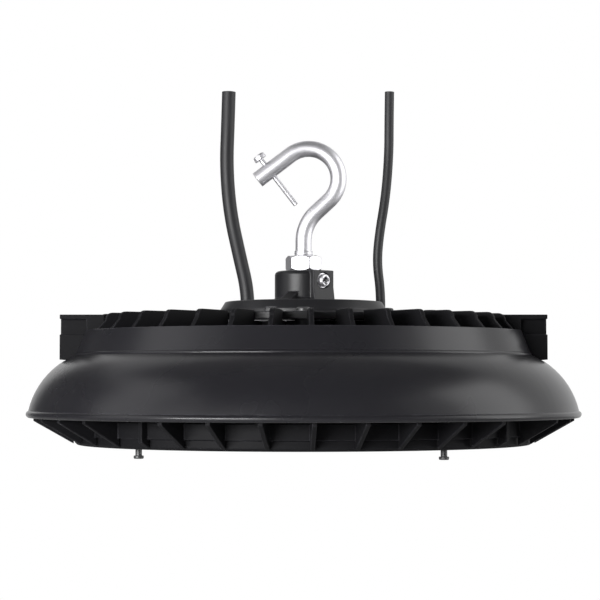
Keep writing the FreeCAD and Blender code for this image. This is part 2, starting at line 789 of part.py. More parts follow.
def make_lock_nut():
    """Hexagon lock nut that clamps the hook's shank on the boss."""
    body = new_body("hook_lock_nut")
    blank = new_sketch(body, "nut_sketch", "XY_Plane", rise="boss_top")
    hexagon(blank, "nut_flats")
    ring_of(blank, "thread_radius")
    raised(body, "nut_blank", blank, "nut_height")
    corner = "nut_flats * 0.65"
    for name, edge, way in (("top", "nut_top", "-"), ("bottom", "boss_top", "+")):
        chamfer = new_sketch(body, "nut_%s_sketch" % name, "XZ_Plane")
        outline(chamfer, [
            ("nut_flats / 2 - nut_chamfer * 0.3", edge), (corner, edge), (corner, edge + way + "nut_chamfer"),
        ])
        turned(body, "nut_%s" % name, chamfer, cut=True)
    return body


def make_set_screw():
    """Screw and washer that lock the hook's shank from the side of the boss."""
    angle = math.radians(number("pad_angle"))
    way = V(math.cos(angle), math.sin(angle), 0)
    turn = FreeCAD.Rotation(V(0, 0, 1), way)
    height = V(0, 0, number("set_screw_height"))
    washer = Part.makeCylinder(number("set_washer_radius"), number("set_washer_thickness"))
    washer = washer.cut(Part.makeCylinder(number("set_screw_radius"), number("set_washer_thickness")))
    shaped("set_screw_washer", washer, FreeCAD.Placement(height + way * number("set_seat"), turn))
    model = screw(number("set_head_radius"), number("set_head_height"), number("set_screw_radius"),
                  number("set_seat + set_washer_thickness - thread_radius"), number("set_screw_radius * 0.8"))
    head_seat = height + way * number("set_seat + set_washer_thickness")
    shaped("set_screw", model, FreeCAD.Placement(head_seat, turn))


# ---------------------------------------------------------------- light engine

def make_driver():
    """LED driver on its mounting plate in the can."""
    base = new_body("driver_plate")
    base_sketch = new_sketch(base, "driver_plate_sketch", "XY_Plane", rise="plate_top")
    ring_of(base_sketch, "driver_plate_radius")
    raised(base, "driver_plate_disc", base_sketch, "driver_plate_thickness")
    holes_around(base, "driver_plate_hole", "small_screw_radius + screw_clearance", "driver_screw_circle",
                 "driver_screw_count", "0", "driver_plate_thickness + 2", "driver_bottom + 1")
    lead_sketch = new_sketch(base, "driver_lead_sketch", "XY_Plane", rise="driver_bottom + 1")
    ring_of(lead_sketch, "lead_radius + lead_clearance", "lead_hole_place")
    sunk(base, "driver_lead_hole", lead_sketch, "driver_plate_thickness + 2")

    case = new_body("led_driver")
    section = new_sketch(case, "driver_section", "XZ_Plane")
    outline(section, [
        ("0", "driver_bottom"),
        ("driver_radius", "driver_bottom"),
        ("driver_radius", "driver_top - driver_round"),
        ("driver_radius - driver_round", "driver_top",
         "driver_radius - 0.293 * driver_round", "driver_top - 0.293 * driver_round"),
        ("0", "driver_top"),
    ])
    turned(case, "driver_case", section)


def chip_rings():
    """Radius and number of the LED chips on each ring."""
    rings = []
    for ring in range(4):
        rings.append((number("first_ring") + ring * number("ring_step"), int(number("ring_share")) * (ring + 1)))
    return rings


def make_board():
    """Thermal pad, LED board and its chips."""
    for label, low, height, hole in (
            ("thermal_pad", "board_top", "pad_thickness", "fine_screw_radius + screw_clearance"),
            ("led_board", "board_bottom", "board_thickness", "fine_screw_radius + screw_clearance")):
        body = new_body(label)
        disc = new_sketch(body, label + "_sketch", "XY_Plane", rise=low)
        ring_of(disc, "board_radius")
        raised(body, label + "_disc", disc, height)
        holes_around(body, label + "_hole", hole, "board_screw_circle", "board_screw_count", "0",
                     height + " + 2", low + " - 1", upwards=True)
        if label == "thermal_pad":
            lead = new_sketch(body, "pad_lead_sketch", "XY_Plane", rise=low + " - 1")
            ring_of(lead, "lead_radius + lead_clearance", "lead_hole_place")
            sunk(body, "pad_lead_hole", lead, height + " + 2", upwards=True)
    side = number("chip_side")
    height = number("chip_height")
    chips = []
    for circle, count in chip_rings():
        for place in ring_places(circle, count, 0.0):
            corner = V(place.x - side / 2, place.y - side / 2, number("board_bottom") - height)
            chips.append(Part.makeBox(side, side, height, corner))
    shaped("led_chips", Part.makeCompound(chips))


def make_lens():
    """Clear lens plate with a dome under each chip, its gasket and the frame that clamps it."""
    lens = new_body("lens_plate")
    disc = new_sketch(lens, "lens_sketch", "XY_Plane", rise="lens_bottom")
    ring_of(disc, "lens_radius")
    raised(lens, "lens_disc", disc, "lens_thickness")
    for ring in range(4):
        circle = "first_ring + %d * ring_step" % ring
        dome_sketch = new_sketch(lens, "dome_sketch_%d" % ring, "XZ_Plane", shift=circle)
        outline(dome_sketch, [
            ("0", "lens_bottom - dome_height"),
            ("dome_radius", "lens_bottom", "dome_radius / 2", "lens_bottom - dome_half_drop"),
            ("dome_radius", "lens_bottom + lens_thickness / 2"),
            ("0", "lens_bottom + lens_thickness / 2"),
        ])
        dome = turned(lens, "dome_%d" % ring, dome_sketch, axis="V_Axis")
        around(lens, "domes_%d" % ring, dome, "ring_share * %d" % (ring + 1))

    flat_ring("lens_gasket", "lens_radius", "lens_radius - lens_gasket_width", "lens_top", "lens_gasket_height")

    frame = new_body("lens_frame")
    section = new_sketch(frame, "lens_frame_section", "XZ_Plane")
    outline(section, [
        ("window_radius + frame_lip / 2", "stud_drop"),
        ("lens_frame_radius - frame_lip / 2", "stud_drop"),
        ("lens_frame_radius", "stud_drop + frame_lip / 2"),
        ("lens_frame_radius", "plate_bottom"),
        ("lens_radius + lens_gap", "plate_bottom"),
        ("lens_radius + lens_gap", "lens_bottom"),
        ("window_radius", "lens_bottom"),
        ("window_radius", "stud_drop + frame_lip / 2"),
    ])
    turned(frame, "lens_frame_ring", section)
    holes_around(frame, "frame_hole", "small_screw_radius + screw_clearance", "frame_screw_circle",
                 "frame_screw_count", "frame_screw_angle", "plate_bottom + 1", "plate_bottom + 0.5")
    holes_around(frame, "frame_counterbore", "small_head_radius + screw_clearance", "frame_screw_circle",
                 "frame_screw_count", "frame_screw_angle", "small_head_height + 1", "stud_drop - 1",
                 upwards=True)
    holes_around(frame, "stud_hole", "stud_radius", "stud_circle", "stud_count", "stud_angle",
                 "plate_bottom + 1", "plate_bottom + 0.5")


def make_screws():
    """All the identical screws and studs, one node for each kind."""
    small = screw(number("small_head_radius"), number("small_head_height"), number("small_screw_radius"),
                  number("cover_thickness + cover_screw_depth - tapped_spare"),
                  number("small_screw_radius * 0.7"))
    cover_places = ring_places(number("cover_screw_circle"), int(number("cover_screw_count")),
                               number("cover_screw_angle"))
    screw_group("cover_screws", small, cover_places, number("cover_top"))

    driver_screw = screw(number("small_head_radius"), number("small_head_height"),
                         number("small_screw_radius"),
                         number("driver_plate_thickness + driver_screw_depth - tapped_spare"),
                         number("small_screw_radius * 0.7"))
    driver_places = ring_places(number("driver_screw_circle"), int(number("driver_screw_count")), 0.0)
    screw_group("driver_screws", driver_screw, driver_places, number("driver_bottom"))

    frame_seat = number("stud_drop + small_head_height")
    frame_screw = screw(number("small_head_radius"), number("small_head_height"),
                        number("small_screw_radius"),
                        number("plate_bottom + frame_screw_depth - tapped_spare") - frame_seat,
                        number("small_screw_radius * 0.7"))
    frame_places = ring_places(number("frame_screw_circle"), int(number("frame_screw_count")),
                               number("frame_screw_angle"))
    screw_group("lens_frame_screws", frame_screw, frame_places, frame_seat, head_down=True)

    fine_length = number("board_thickness + pad_thickness + board_screw_depth - tapped_spare")
    fine = screw(number("fine_head_radius"), number("fine_head_height"), number("fine_screw_radius"),
                 fine_length, number("fine_screw_radius * 0.7"))
    board_places = ring_places(number("board_screw_circle"), int(number("board_screw_count")), 0.0)
    screw_group("board_screws", fine, board_places, number("board_bottom"), head_down=True)

    shroud_screw = screw(number("fine_head_radius"), number("fine_head_height"),
                         number("fine_screw_radius"),
                         number("tab_thickness + shroud_screw_depth - tapped_spare"),
                         number("fine_screw_radius * 0.7"))
    shroud_places = ring_places(number("post_circle"), int(number("shroud_screw_count")),
                                number("post_angle"), number("post_span"))
    screw_group("shroud_screws", shroud_screw, shroud_places, number("tab_bottom"), head_down=True)

    stud_length = number("plate_bottom + stud_depth - tapped_spare - stud_head_height")
    stud = screw(number("stud_head_radius"), number("stud_head_height"), number("stud_radius"),
                 stud_length, number("stud_radius * 0.6"))
    stud_places = ring_places(number("stud_circle"), int(number("stud_count")), number("stud_angle"))
    screw_group("reflector_studs", stud, stud_places, number("stud_head_height"), head_down=True)


# ---------------------------------------------------------------- glands, leads and cords

def make_gland(cord, cord_radius, lead_radius):
    """Low cable gland in the cover, its lock nut and cap, and the lead down to the driver."""
    x = number(cord + "_gland_x")
    y = number(cord + "_gland_y")

    body = new_body(cord + "_gland")
    flange = new_sketch(body, cord + "_flange_sketch", "XY_Plane", rise="cover_top")
    hexagon(flange, "gland_flange_flats")
    raised(body, cord + "_flange", flange, "gland_flange_height")
    tail = new_sketch(body, cord + "_tail_sketch", "XY_Plane", rise="gland_bottom")
    ring_of(tail, "gland_thread_radius")
    raised(body, cord + "_tail", tail, "gland_tail + cover_thickness")
    bore = new_sketch(body, cord + "_bore_sketch", "XY_Plane", rise="gland_bottom")
    ring_of(bore, lead_radius)
    sunk(body, cord + "_bore", bore, "gland_tail", upwards=True)
    body.setExpression("Placement.Base.x", linked(cord + "_gland_x"))
    body.setExpression("Placement.Base.y", linked(cord + "_gland_y"))

    cap = new_body(cord + "_gland_cap")
    dome = new_sketch(cap, cord + "_cap_section", "XZ_Plane")
    outline(dome, [
        ("0", "gland_flange_top"),
        ("gland_cap_radius", "gland_flange_top"),
        ("gland_cap_radius", "gland_flange_top + gland_cap_height * 0.4"),
        (cord_radius + " + 1", "gland_top",
         "gland_cap_radius - 0.8", "gland_flange_top + gland_cap_height * 0.8"),
        ("0", "gland_top"),
    ])
    turned(cap, cord + "_cap_dome", dome)
    cap.setExpression("Placement.Base.x", linked(cord + "_gland_x"))
    cap.setExpression("Placement.Base.y", linked(cord + "_gland_y"))

    nut = new_body(cord + "_gland_nut")
    nut_sketch = new_sketch(nut, cord + "_nut_sketch", "XY_Plane", rise="cover_bottom")
    hexagon(nut_sketch, "gland_nut_flats")
    ring_of(nut_sketch, "gland_thread_radius")
    blank = raised(nut, cord + "_nut_blank", nut_sketch, "gland_nut_height")
    blank.Reversed = True
    nut.setExpression("Placement.Base.x", linked(cord + "_gland_x"))
    nut.setExpression("Placement.Base.y", linked(cord + "_gland_y"))

    lead = doc.addObject("Part::Cylinder", cord + "_lead")
    lead.Label = cord + "_lead"
    lead.setExpression("Radius", linked(lead_radius))
    lead.setExpression("Height", linked("cover_bottom - driver_top"))
    lead.Placement = FreeCAD.Placement(V(x, y, number("driver_top")), FreeCAD.Rotation())
    lead.setExpression("Placement.Base.x", linked(cord + "_gland_x"))
    lead.setExpression("Placement.Base.y", linked(cord + "_gland_y"))
    lead.setExpression("Placement.Base.z", linked("driver_top"))
    parts.append(lead)


def make_led_lead():
    """Lead from the driver down through the casting to the LED board."""
    lead = doc.addObject("Part::Cylinder", "led_lead")
    lead.Label = "led_lead"
    lead.setExpression("Radius", linked("lead_radius"))
    lead.setExpression("Height", linked("driver_bottom - board_top"))
    lead.setExpression("Placement.Base.x", linked("lead_hole_place"))
    lead.setExpression("Placement.Base.z", linked("board_top"))
    parts.append(lead)


make_heat_sink()
make_shroud()
make_driver_cover()
flat_ring("cover_gasket", "can_radius + cover_gasket_width", "can_radius", "can_top", "cover_gasket_height")
make_hook()
make_lock_nut()
make_keeper_screw()
make_set_screw()
make_driver()
make_board()
make_lens()
make_screws()
make_gland("power", "power_cord_radius", "power_cord_radius - 0.4")
make_gland("dimming", "dimming_cord_radius", "dimming_cord_radius - 0.4")
make_led_lead()
shaped("power_cord", cord_tube([V(*point) for point in POWER_ROUTE], number("power_cord_radius"), "power_cord"))
shaped("dimming_cord",
       cord_tube([V(*point) for point in DIMMING_ROUTE], number("dimming_cord_radius"), "dimming_cord"))

doc.recompute()
failed = [item.Name for item in doc.Objects if "Invalid" in item.State or "Error" in item.State]
if failed:
    raise RuntimeError("objects that failed: " + ", ".join(failed))
for part in parts:
    if part.Shape.isNull() or not part.Shape.isValid():
        raise RuntimeError("shape that is null or not valid: " + part.Label)

os.makedirs("parts", exist_ok=True)
for part in parts:
    part.Shape.exportStep("parts/%s.step" % part.Label)
print("%d nodes, %d solids" % (len(parts), sum(len(part.Shape.Solids) for part in parts)))
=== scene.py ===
"""Looks of a round high bay light: finishes, cords, threads, castings' small forms and the studio."""
import json
import math

import bpy
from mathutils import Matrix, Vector


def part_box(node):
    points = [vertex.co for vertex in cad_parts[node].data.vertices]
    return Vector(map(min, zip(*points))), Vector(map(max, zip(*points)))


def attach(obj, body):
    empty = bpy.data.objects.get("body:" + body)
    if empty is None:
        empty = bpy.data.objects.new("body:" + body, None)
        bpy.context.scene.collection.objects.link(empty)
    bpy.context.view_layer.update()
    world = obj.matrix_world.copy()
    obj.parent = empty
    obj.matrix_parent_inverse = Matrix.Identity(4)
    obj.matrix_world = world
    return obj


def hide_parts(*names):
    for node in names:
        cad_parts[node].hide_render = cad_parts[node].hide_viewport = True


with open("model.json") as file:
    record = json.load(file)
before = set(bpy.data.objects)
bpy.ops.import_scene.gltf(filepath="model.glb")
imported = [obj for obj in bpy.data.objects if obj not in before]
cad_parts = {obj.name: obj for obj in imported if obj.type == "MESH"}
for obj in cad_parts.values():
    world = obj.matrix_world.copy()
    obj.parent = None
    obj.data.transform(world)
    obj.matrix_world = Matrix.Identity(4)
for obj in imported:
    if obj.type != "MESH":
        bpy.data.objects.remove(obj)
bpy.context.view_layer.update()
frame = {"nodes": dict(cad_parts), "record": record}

MOUNTS = {mount["name"]: mount for mount in frame["record"]["mounts"]}
SCENE = bpy.context.scene
MM = 0.001

# ---------------------------------------------------------------- camera

CAMERA_DISTANCE = 1.028
CAMERA_HEIGHT = 0.040
CAMERA_LENS = 111.0
CAMERA_PITCH = math.radians(2.51)
CAMERA_YAW = math.radians(0.11)
SENSOR_WIDTH = 36.0
CLIP_NEAR = 0.01
CLIP_FAR = 50.0


def make_camera():
    """Long lens, level with the skirt, turned up a little."""
    data = bpy.data.cameras.new("studio_camera")
    data.lens = CAMERA_LENS
    data.sensor_width = SENSOR_WIDTH
    data.clip_start = CLIP_NEAR
    data.clip_end = CLIP_FAR
    camera = bpy.data.objects.new("studio_camera", data)
    camera.location = (0.0, -CAMERA_DISTANCE, CAMERA_HEIGHT)
    camera.rotation_euler = (math.pi / 2 + CAMERA_PITCH, 0.0, CAMERA_YAW)
    SCENE.collection.objects.link(camera)
    SCENE.camera = camera


make_camera()

# ---------------------------------------------------------------- cords

POWER_ROUTE = [
    (-32.6, 50.0, 82.0),
    (-32.6, 50.0, 92.5),
    (-37.3, 49.8, 112.5),
    (-42.9, 49.2, 138.0),
    (-45.1, 48.5, 165.0),
    (-44.2, 48.0, 190.0),
    (-43.7, 48.2, 209.0),
]
DIMMING_ROUTE = [
    (44.4, 37.0, 82.0),
    (44.4, 37.0, 92.0),
    (42.3, 37.0, 108.0),
    (43.6, 36.5, 124.0),
    (47.5, 36.0, 147.0),
    (49.3, 35.5, 171.0),
    (49.4, 35.3, 190.0),
    (49.7, 35.6, 207.0),
]
POWER_DIAMETER = 0.0080
DIMMING_DIAMETER = 0.0054
STEPS_ALONG_CORD = 24
STEPS_ROUND_CORD = 8


def cord_curve(name, route, diameter):
    """Round cord along one smooth open spline through the route's control points."""
    data = bpy.data.curves.new(name, "CURVE")
    data.dimensions = "3D"
    spline = data.splines.new("NURBS")
    spline.points.add(len(route) - 1)
    for point, place in zip(spline.points, route):
        point.co = (place[0] * MM, place[1] * MM, place[2] * MM, 1.0)
        point.radius = diameter / 2
    spline.order_u = 3
    spline.use_endpoint_u = True
    spline.resolution_u = STEPS_ALONG_CORD
    data.bevel_depth = 1.0
    data.bevel_resolution = STEPS_ROUND_CORD
    data.use_fill_caps = True
    cord = bpy.data.objects.new(name, data)
    SCENE.collection.objects.link(cord)
    return cord


def make_cord(name, node, route, diameter):
    """Cord in place of its CAD tube, with its real size."""
    cord = cord_curve(name, route, diameter)
    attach(cord, "root")
    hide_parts(node)
    return cord


power_cord = make_cord("supply_lead", "power_cord", POWER_ROUTE, POWER_DIAMETER)
dimming_cord = make_cord("control_lead", "dimming_cord", DIMMING_ROUTE, DIMMING_DIAMETER)

# ---------------------------------------------------------------- studio

WHITE = (1.0, 1.0, 1.0, 1.0)
PLAIN_LIGHT = 0.45
CARD_ROUGHNESS = 0.9
FLOOR_PLACE = (0.0, 0.0, -0.30)
FLOOR_SIZE = 3.2
FLOOR_GREY = 0.55
FLOOR_FADE_START = 0.1
FLOOR_FADE_END = 1.1
# name, side, place, turn in degrees and grey of each card, which the camera doesn't see
CARDS = [
    ("front_card", 3.0, (0.0, -1.6, 0.5), (90.0, 0.0, 0.0), 0.45),
    ("ceiling_card", 3.2, (0.0, -0.7, 1.9), (0.0, 0.0, 0.0), 0.26),
    ("left_card", 2.0, (-1.6, 0.95, 0.6), (90.0, 0.0, 59.0), 0.14),
]
# name, place, point it faces, width and height, and power in watts of each lamp
LAMPS = [
    ("softbox_right", (1.25, -0.10, 0.58), (0.0, 0.0, 0.05), (0.8, 1.0), 7.5),
    ("softbox_left", (-1.25, -0.25, 0.80), (0.0, 0.0, 0.06), (0.7, 1.3), 2.4),
    ("low_left", (-0.70, -1.06, 0.14), (0.0, 0.0, 0.05), (0.80, 0.28), 26.0),
    ("low_right", (1.20, -0.15, -0.05), (0.0, 0.0, 0.03), (0.5, 0.20), 2.5),
]


def stage_card(name, size, place, turn, grey, seen=False):
    """Flat matt card of the studio, not part of the light, turned in degrees."""
    turn = [math.radians(angle) for angle in turn]
    bpy.ops.mesh.primitive_plane_add(size=size, location=place, rotation=turn)
    card = bpy.context.object
    card.name = name
    paint = bpy.data.materials.new(name)
    paint.use_nodes = True
    shader = paint.node_tree.nodes["Principled BSDF"]
    shader.inputs["Base Color"].default_value = (grey, grey, grey, 1.0)
    shader.inputs["Roughness"].default_value = CARD_ROUGHNESS
    card.data.materials.append(paint)
    card.visible_camera = seen
    return card


def fade_to_white(card, near, far):
    """Let a card turn white towards its edge for the camera alone, so that no edge shows."""
    tree = card.data.materials[0].node_tree
    coords = tree.nodes.new("ShaderNodeTexCoord")
    reach = tree.nodes.new("ShaderNodeVectorMath")
    reach.operation = "LENGTH"
    tree.links.new(coords.outputs["Object"], reach.inputs[0])
    fade = tree.nodes.new("ShaderNodeMapRange")
    fade.interpolation_type = "SMOOTHSTEP"
    fade.inputs["From Min"].default_value = near
    fade.inputs["From Max"].default_value = far
    tree.links.new(reach.outputs["Value"], fade.inputs["Value"])
    path = tree.nodes.new("ShaderNodeLightPath")
    share = tree.nodes.new("ShaderNodeMath")
    share.operation = "MULTIPLY"
    tree.links.new(fade.outputs["Result"], share.inputs[0])
    tree.links.new(path.outputs["Is Camera Ray"], share.inputs[1])
    white = tree.nodes.new("ShaderNodeEmission")
    white.inputs["Color"].default_value = WHITE
    white.inputs["Strength"].default_value = 1.0
    mix = tree.nodes.new("ShaderNodeMixShader")
    tree.links.new(share.outputs[0], mix.inputs["Fac"])
    tree.links.new(tree.nodes["Principled BSDF"].outputs[0], mix.inputs[1])
    tree.links.new(white.outputs[0], mix.inputs[2])
    tree.links.new(mix.outputs[0], tree.nodes["Material Output"].inputs["Surface"])


def area_light(name, place, target, size, power):
    """Soft white rectangular lamp that faces a point."""
    data = bpy.data.lights.new(name, "AREA")
    data.shape = "RECTANGLE"
    data.size = size[0]
    data.size_y = size[1]
    data.energy = power
    lamp = bpy.data.objects.new(name, data)
    lamp.location = place
    way = Vector(target) - Vector(place)
    lamp.rotation_euler = way.to_track_quat("-Z", "Y").to_euler()
    SCENE.collection.objects.link(lamp)


def white_backdrop(tree, plain, output):
    """White where the camera, a reflection or glass looks, and plain light everywhere else."""
    nodes = tree.nodes
    path = nodes.new("ShaderNodeLightPath")
    either = nodes.new("ShaderNodeMath")
    either.operation = "MAXIMUM"
    tree.links.new(path.outputs["Is Camera Ray"], either.inputs[0])
    tree.links.new(path.outputs["Is Glossy Ray"], either.inputs[1])
    glass = nodes.new("ShaderNodeMath")
    glass.operation = "MAXIMUM"
    tree.links.new(either.outputs[0], glass.inputs[0])
    tree.links.new(path.outputs["Is Transmission Ray"], glass.inputs[1])
    mix = nodes.new("ShaderNodeMixShader")
    white = nodes.new("ShaderNodeBackground")
    white.inputs["Color"].default_value = WHITE
    white.inputs["Strength"].default_value = 1.0
    tree.links.new(glass.outputs[0], mix.inputs["Fac"])
    tree.links.new(plain.outputs[0], mix.inputs[1])
    tree.links.new(white.outputs[0], mix.inputs[2])
    tree.links.new(mix.outputs[0], output.inputs["Surface"])


def make_studio():
    """White world, pale floor far below the hung light, grey cards for reflections, and soft lamps."""
    world = bpy.data.worlds.new("studio_world")
    SCENE.world = world
    world.use_nodes = True
    tree = world.node_tree
    plain = tree.nodes["Background"]
    plain.inputs["Color"].default_value = WHITE
    plain.inputs["Strength"].default_value = PLAIN_LIGHT
    white_backdrop(tree, plain, tree.nodes["World Output"])
    floor = stage_card("studio_floor", FLOOR_SIZE, FLOOR_PLACE, (0.0, 0.0, 0.0), FLOOR_GREY, seen=True)
    fade_to_white(floor, FLOOR_FADE_START, FLOOR_FADE_END)
    for card in CARDS:
        stage_card(*card)
    for lamp in LAMPS:
        area_light(*lamp)
    SCENE.view_settings.view_transform = "Standard"


make_studio()

# ---------------------------------------------------------------- shared effects

FINE_DETAIL = 3.0
SLOW_DETAIL = 4.0
MOTTLE_RANGE = (0.15, 0.85)
EDGE_RADIUS = 0.0007
EDGE_SAMPLES = 4
EDGE_TURN_RANGE = (0.995, 0.93)
EDGE_PATCH_RANGE = (0.42, 0.62)
EDGE_LEAST = 0.25
EDGE_DETAIL = 4.0
DUST_SCALE = 60.0
DUST_DETAIL = 5.0
DUST_SLOPE_RANGE = (0.6, 1.0)
DUST_PATCH_RANGE = (0.35, 0.75)
DUST_LEAST = 0.2


def effect_group(name, numbers, results):
    """Empty shader group with named number inputs and outputs."""
    group = bpy.data.node_groups.new(name, "ShaderNodeTree")
    for label, value in numbers:
        socket = group.interface.new_socket(label, in_out="INPUT", socket_type="NodeSocketFloat")
        socket.default_value = value
    for label, kind in results:
        group.interface.new_socket(label, in_out="OUTPUT", socket_type=kind)
    start = group.nodes.new("NodeGroupInput")
    end = group.nodes.new("NodeGroupOutput")
    return group, start, end


def add_noise(group, scale, detail):
    """Noise on object coordinates, its scale a number or a socket."""
    coords = group.nodes.new("ShaderNodeTexCoord")
    noise = group.nodes.new("ShaderNodeTexNoise")
    noise.inputs["Detail"].default_value = detail
    group.links.new(coords.outputs["Object"], noise.inputs["Vector"])
    if isinstance(scale, float):
        noise.inputs["Scale"].default_value = scale
    else:
        group.links.new(scale, noise.inputs["Scale"])
    return noise.outputs["Fac"]


def add_range(group, value, span, least=0.0):
    """Map a value's span to a mask from its least to 1, clamped."""
    ramp = group.nodes.new("ShaderNodeMapRange")
    group.links.new(value, ramp.inputs["Value"])
    ramp.inputs["From Min"].default_value = span[0]
    ramp.inputs["From Max"].default_value = span[1]
    ramp.inputs["To Min"].default_value = least
    return ramp.outputs["Result"]


def multiply(group, first, second):
    """Product of two values."""
    node = group.nodes.new("ShaderNodeMath")
    node.operation = "MULTIPLY"
    group.links.new(first, node.inputs[0])
    group.links.new(second, node.inputs[1])
    return node.outputs[0]


def make_grain():
    """Orange peel of a coat or a moulding: fine height and a slow mottling mask."""
    group, start, end = effect_group(
        "surface_grain",
        [("Fine Scale", 900.0), ("Slow Scale", 18.0)],
        [("Height", "NodeSocketFloat"), ("Mottle", "NodeSocketFloat")])
    fine = add_noise(group, start.outputs["Fine Scale"], FINE_DETAIL)
    slow = add_noise(group, start.outputs["Slow Scale"], SLOW_DETAIL)
    group.links.new(fine, end.inputs["Height"])
    group.links.new(add_range(group, slow, MOTTLE_RANGE), end.inputs["Mottle"])
    return group


def make_edge_wear_and_highlight():
    """Mask of the outer edges, where a coat is rubbed thinner and where a painted highlight lightens them.
    """
    group, start, end = effect_group(
        "edge_wear_and_highlight",
        [("Scale", 160.0), ("Amount", 1.0)],
        [("Mask", "NodeSocketFloat"), ("Normal", "NodeSocketVector")])
    bevel = group.nodes.new("ShaderNodeBevel")
    bevel.samples = EDGE_SAMPLES
    bevel.inputs["Radius"].default_value = EDGE_RADIUS
    flat = group.nodes.new("ShaderNodeNewGeometry")
    dot = group.nodes.new("ShaderNodeVectorMath")
    dot.operation = "DOT_PRODUCT"
    group.links.new(bevel.outputs["Normal"], dot.inputs[0])
    group.links.new(flat.outputs["Normal"], dot.inputs[1])
    turned = add_range(group, dot.outputs["Value"], EDGE_TURN_RANGE)
    cloudy = add_noise(group, start.outputs["Scale"], EDGE_DETAIL)
    patches = add_range(group, cloudy, EDGE_PATCH_RANGE, EDGE_LEAST)
    mask = multiply(group, multiply(group, turned, patches), start.outputs["Amount"])
    group.links.new(mask, end.inputs["Mask"])
    group.links.new(bevel.outputs["Normal"], end.inputs["Normal"])
    return group


def make_dust():
    """Thin dust that settles on faces that look up."""
    group, start, end = effect_group(
        "settled_dust", [("Amount", 0.25)], [("Mask", "NodeSocketFloat")])
    flat = group.nodes.new("ShaderNodeNewGeometry")
    parts = group.nodes.new("ShaderNodeSeparateXYZ")
    group.links.new(flat.outputs["Normal"], parts.inputs[0])
    upward = add_range(group, parts.outputs["Z"], DUST_SLOPE_RANGE)
    cloudy = add_noise(group, DUST_SCALE, DUST_DETAIL)
    patches = add_range(group, cloudy, DUST_PATCH_RANGE, DUST_LEAST)
    mask = multiply(group, multiply(group, upward, patches), start.outputs["Amount"])
    group.links.new(mask, end.inputs["Mask"])
    return group


GRAIN = make_grain()
EDGES = make_edge_wear_and_highlight()
DUST = make_dust()

# ---------------------------------------------------------------- materials

DUST_COLOUR = (0.16, 0.155, 0.15)
COAT_CLOUDS = 14.0
# edge masks of the coat and the plating: rubbed wear in patches together with a painted highlight on the
# edges
COAT_EDGE_WEAR_AND_HIGHLIGHT = {"scale": 140.0, "amount": 0.8}
COAT_EDGE_HIGHLIGHT_GAIN = 5.0
COAT_GLOSS_SPREAD = (-0.04, 0.05)
COAT_RELIEF = 0.00006
PLATING_EDGE_WEAR_AND_HIGHLIGHT = {"scale": 300.0, "amount": 0.6}
PLATING_EDGE_HIGHLIGHT = (0.95, 0.95, 0.96)
PLATING_GLOSS_SPREAD = (-0.05, 0.08)
PLATING_RELIEF = 0.00004
PLATING_STRENGTH = 0.15
PLATING_CLOUDS = 260.0
MOULDING_CLOUDS = 40.0
MOULDING_GLOSS_SPREAD = (-0.05, 0.05)
MOULDING_RELIEF = 0.00005
OPTIC_COLOUR = (0.96, 0.98, 0.99)
OPTIC_PLAIN_ROUGHNESS = 0.04
OPTIC_ROUGHNESS = (0.03, 0.07)
OPTIC_IOR = 1.49
OPTIC_GRAIN = {"fine_scale": 220.0, "slow_scale": 30.0}
OPTIC_STRENGTH = 0.05
JACKET = {"roughness": 0.50, "fine": 1800.0, "strength": 0.35, "specular": 0.3}


def start_material(name, colour, roughness, metallic=0.0, specular=0.5):
    """Material with a Principled shader whose plain values are set on its own sockets."""
    material = bpy.data.materials.new(name)
    material.use_nodes = True
    shader = material.node_tree.nodes["Principled BSDF"]
    shader.inputs["Base Color"].default_value = (*colour, 1.0)
    shader.inputs["Roughness"].default_value = roughness
    shader.inputs["Metallic"].default_value = metallic
    shader.inputs["Specular IOR Level"].default_value = specular
    return material, material.node_tree, shader


def place_group(tree, group, **values):
    """Shared effect placed in a material with its own values."""
    node = tree.nodes.new("ShaderNodeGroup")
    node.node_tree = group
    for label, value in values.items():
        node.inputs[label.replace("_", " ").title()].default_value = value
    return node


def mix_colour(tree, mask, first, second):
    """Blend two colours, each a tuple or an output, by a mask."""
    mix = tree.nodes.new("ShaderNodeMix")
    mix.data_type = "RGBA"
    tree.links.new(mask, mix.inputs["Factor"])
    for value, socket in ((first, mix.inputs[6]), (second, mix.inputs[7])):
        if isinstance(value, tuple):
            socket.default_value = (*value, 1.0)
        else:
            tree.links.new(value, socket)
    return mix.outputs[2]


def mottle_roughness(tree, shader, mask, low, high):
    """Roughness that runs from low to high with a mask."""
    ramp = tree.nodes.new("ShaderNodeMapRange")
    tree.links.new(mask, ramp.inputs["Value"])
    ramp.inputs["To Min"].default_value = low
    ramp.inputs["To Max"].default_value = high
    tree.links.new(ramp.outputs["Result"], shader.inputs["Roughness"])


def add_bump(tree, shader, height, strength, distance, normal=None):
    """Fine relief on a material."""
    bump = tree.nodes.new("ShaderNodeBump")
    bump.inputs["Strength"].default_value = strength
    bump.inputs["Distance"].default_value = distance
    tree.links.new(height, bump.inputs["Height"])
    if normal is not None:
        tree.links.new(normal, bump.inputs["Normal"])
    tree.links.new(bump.outputs["Normal"], shader.inputs["Normal"])


